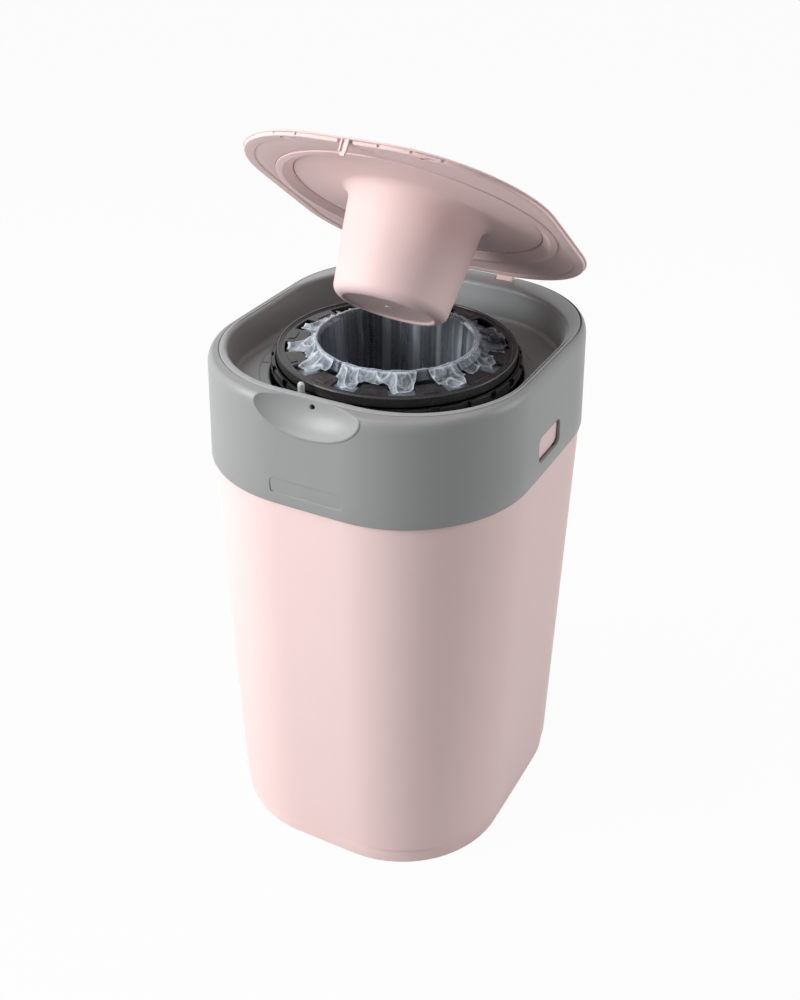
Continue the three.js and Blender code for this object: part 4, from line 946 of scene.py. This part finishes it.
def make_lid_panel():
    low, high, step, inset, border = LID_Z + SEAT, LID_SPLIT, 0.8, 1.3, 8.6
    rings = plan_rings([(inset, high), (inset, low + 0.5), (inset + 0.5, low), (border, low),
                        (border + 0.6, low + 0.2), (border + 1.2, low + step)], LID)
    rings += round_rings([(RING_OUTER + 1.0, low + step), (RING_OUTER + 0.6, low + step + 0.2),
                          (RING_OUTER + FIT, low + step + 0.5), (RING_OUTER + FIT, high)])
    panel = loft("lid_underside", rings[::-1], closed=True)
    gap_half, gap_back = 6, LID["front"] + 3.2
    cutters = [box("hook_gap", (-gap_half, LID["front"] - 1, low - 1), (gap_half, gap_back, high + 1))]
    adds = []
    slot_half, slot_width, clip_half, tongue_half = 5.5, 1.5, 12, 9
    for share in CLIP_SHARES:
        x = share * LID["half_width"]
        edge = lid_edge(x, inset)
        cutters.append(box("slot", (x - slot_half, CLIP_Y - slot_width, low - 0.5),
                           (x + slot_half, CLIP_Y + slot_width, high - 0.8)))
        cutters.append(move(box("clip", (-clip_half, -2, low + 0.7), (clip_half, 1.3, high + 1)), edge))
        tongue = box("tongue", (-tongue_half, 0.35, low + 0.6), (tongue_half, 1.5, high - 0.15))
        adds.append(move(tongue, edge))
    carve(panel, cutters)
    move(carve(panel, adds, "UNION"), OPENED)
    dress(panel, PINK, "lid", "lid_panel")


def make_retainer():
    thickness, rise = 2.2, 4.1
    low, lip = LID_Z + SEAT, RING_OUTER - 5.2
    high = low + rise
    keeper = lathe("dial_keeper", soften([
        (RING_OUTER, low, 0.5), (RING_OUTER, low + thickness, 0.4), (lip - 1.5, low + 2.6),
        (RING_INNER, high + thickness, 0.5), (RING_INNER, high, 0.6), (RING_INNER + 1.2, high - 0.4),
        (lip, low, 1.0)]))
    move(keeper, OPENED)
    dress(keeper, PINK, "lid", "retaining_ring")


# Dial: plunger cup below and twist knob above.
def make_plunger():
    depth, curve, wall, dimple = 75.8, 9.0, 2.5, 1.9
    bottom, face, step = LID_Z - depth, LID_Z + 4.7, LID_Z + 6.9
    disc, flange = RING_INNER - RUNNING, 1.5
    corner, base, bend_z = PLUNGER_LOW_RADIUS - curve, bottom + dimple, bottom + curve
    low_z, high_z = bottom + 28.8, bottom + 46.8
    flare, flare_across, flare_down = PLUNGER_TOP_RADIUS + 8, 8, 12
    flare_z, skin_across, skin_down = face - flare_down, 2.5, 2.6
    # Outside, from the gate mark at the centre up the cup and out to the disc's edge.
    profile = [(0, base - 0.2), (1.6, base - 0.2), (1.9, base - 0.5), (2.5, base - 0.5), (2.9, base),
               (corner - 2.4, base), (corner - 1.4, base - 0.4), (corner - 0.7, base - 1.5)]
    profile += arc(corner, bend_z, curve, curve, -90, 0, 14)
    profile += [(PLUNGER_LOW_RADIUS + 2.2, low_z), (PLUNGER_LOW_RADIUS + 4.4, high_z)]
    profile += arc(flare, flare_z, flare_across, flare_down, 180, 90, 14)
    profile += [(flare + 18, face), (disc - 2.6, face), (disc - 1, face + 0.15), (disc - 0.2, face + 0.6),
                (disc, face + 1.2), (disc, step), (disc + 4, step), (disc + 4, step + flange)]
    # Inside, back down to the centre.
    profile += [(disc - 1.9, step + flange), (disc - 3.8, step + 0.4)]
    profile += arc(flare, flare_z, flare_across + skin_across, flare_down + skin_down, 90, 180, 12)
    profile += [(PLUNGER_LOW_RADIUS + 1.9, high_z), (PLUNGER_LOW_RADIUS - 0.3, low_z)]
    profile += arc(corner, bend_z + dimple, curve - wall, curve - wall, 0, -90, 10)
    profile += [(0, base + wall)]
    cup = lathe("plunger", profile, closed=False)
    move(cup, OPENED)
    dress(cup, PINK, "dial", "plunger_cup")


def make_knob():
    low = LID_Z + 8.7
    top, outer, well = low + 5.3, RING_INNER + 1.2, PLUNGER_TOP_RADIUS - 1.7
    skin, well_low, middle = 2.2, top - 5.3, 75
    knob = lathe("twist_dial", soften([
        (outer, low, 0.3), (outer, top - 1.6), (outer - 0.5, top - 0.5, 0.8), (outer - 1.8, top, 0.8),
        (middle, top + 0.75), (well + 1.9, top + 1.3, 1.2), (well, top - 0.3, 1.4), (well, well_low, 0.8),
        (well + skin, well_low, 0.8), (well + skin, top - 2.5, 0.6), (outer - skin, top - skin, 0.6),
        (outer - skin, low, 0.3)]))
    half, bar_z, bar_width, bar_height, bar_round = well + FIT, top - 6.0, 22, 13, 6
    bar = prism("bar", rounded(bar_width, bar_height, bar_round, 10), 2 * half,
                lambda u, v, w: (w - half, CASSETTE_Y + u, bar_z + v))
    move(carve(knob, [bar], "UNION"), OPENED)
    dress(knob, PINK, "dial", "twist_knob")


# Nodes whose CAD shape stays.
def paint(name, material, angle):
    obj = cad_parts[name]
    if not obj.data.materials:
        obj.data.materials.append(material)
    for slot in obj.material_slots:
        slot.material = material
    shade_smooth(obj.data, angle)


def keep_cad():
    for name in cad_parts:
        if name.startswith("latch"):
            paint(name, PINK, 30)
        if name.startswith(("hinge_pin", "gripper_screw")):
            paint(name, STEEL, 40)
    paint("gripper_ring", BLACK, 30)


# Stage, light and camera.
def seen_ray(tree):
    """1 for rays that show the background: from the camera, or by way of gloss or glass."""
    path = add(tree, "ShaderNodeLightPath")
    last = path.outputs["Is Camera Ray"]
    for kind in ("Is Transmission Ray", "Is Glossy Ray"):
        either = add(tree, "ShaderNodeMath", operation="MAXIMUM")
        tree.links.new(last, either.inputs[0])
        tree.links.new(path.outputs[kind], either.inputs[1])
        last = either.outputs[0]
    return last


def make_floor():
    """Floor that looks near white to the camera and is mid grey to the light."""
    bpy.ops.mesh.primitive_plane_add(size=12, location=(0, 0, -0.0005))
    floor = bpy.context.object
    floor.name = "floor"
    material, tree = new_material("floor")
    tree.nodes.clear()
    out = add(tree, "ShaderNodeOutputMaterial")
    shade = add(tree, "ShaderNodeBsdfDiffuse", Color=(0.6, 0.6, 0.6, 1))
    white = add(tree, "ShaderNodeEmission", Strength=1.0)
    mix = mixed(tree, times(tree, seen_ray(tree), 0.96), shade, white)
    tree.links.new(mix.outputs[0], out.inputs["Surface"])
    floor.data.materials.append(material)


def make_world():
    """Background that looks near white to the camera and gives dim light."""
    world = bpy.data.worlds.new("studio")
    bpy.context.scene.world = world
    world.use_nodes = True
    tree = world.node_tree
    tree.nodes.clear()
    out = add(tree, "ShaderNodeOutputWorld")
    dim = add(tree, "ShaderNodeBackground", Strength=0.24, Color=(1, 1, 1, 1))
    bright = add(tree, "ShaderNodeBackground", Strength=1.0, Color=(0.98, 0.98, 0.98, 1))
    mix = mixed(tree, seen_ray(tree), dim, bright)
    tree.links.new(mix.outputs[0], out.inputs["Surface"])


def away_from(azimuth, elevation):
    """Direction at an azimuth from the front towards the right, and an elevation, in degrees."""
    turn, rise = math.radians(azimuth), math.radians(elevation)
    return Vector((math.sin(turn) * math.cos(rise), -math.cos(turn) * math.cos(rise), math.sin(rise)))


def softbox(name, azimuth, elevation, distance, size, power):
    """Area light that looks at the bin's middle."""
    middle = Vector((0, 0, 0.28))
    away = away_from(azimuth, elevation)
    light = bpy.data.lights.new(name, "AREA")
    light.shape = "RECTANGLE"
    light.size, light.size_y = size
    light.energy = power
    obj = new_object(name, light)
    obj.location = middle + away * distance
    obj.rotation_euler = away.to_track_quat("Z", "Y").to_euler()


def make_lights():
    softbox("key", azimuth=-44, elevation=25, distance=2.2, size=(0.9, 1.3), power=42)
    softbox("side", azimuth=118, elevation=20, distance=2.0, size=(0.8, 1.2), power=13)
    softbox("top", azimuth=-75, elevation=62, distance=2.0, size=(1.0, 1.0), power=12)


def make_camera():
    """Camera fitted to the photo: angles in degrees, metres, and lengths in pixels of its height."""
    azimuth, elevation, roll = 27.38, 34.61, 0.395
    distance, target = 1.085, Vector((0, 0, 0.2146))
    focal, frame_height = 1222.75, 1000.0
    shift_x, shift_y = -0.00014, 0.06746
    back = away_from(azimuth, elevation)
    right = Vector((math.cos(math.radians(azimuth)), math.sin(math.radians(azimuth)), 0))
    turn = Matrix((right, back.cross(right), back)).transposed()
    turn = turn @ Matrix.Rotation(math.radians(roll), 3, "Z")
    camera = bpy.data.cameras.new("camera")
    camera.sensor_fit = "VERTICAL"
    camera.sensor_height = 36.0
    camera.lens = camera.sensor_height * focal / frame_height
    camera.shift_x, camera.shift_y = shift_x, shift_y
    camera.clip_start, camera.clip_end = 0.05, 50
    obj = new_object("camera", camera)
    obj.matrix_world = Matrix.Translation(target + back * distance) @ turn.to_4x4()
    bpy.context.scene.camera = obj


make_tub()
make_collar()
make_liner()
make_turntable()
make_cassette()
make_cover()
make_pack()
make_film()
make_sheets()
make_pawl()
make_lid_top()
make_lid_panel()
make_retainer()
make_plunger()
make_knob()
keep_cad()
make_floor()
make_world()
make_lights()
make_camera()

bpy.context.scene.view_settings.view_transform = "Standard"
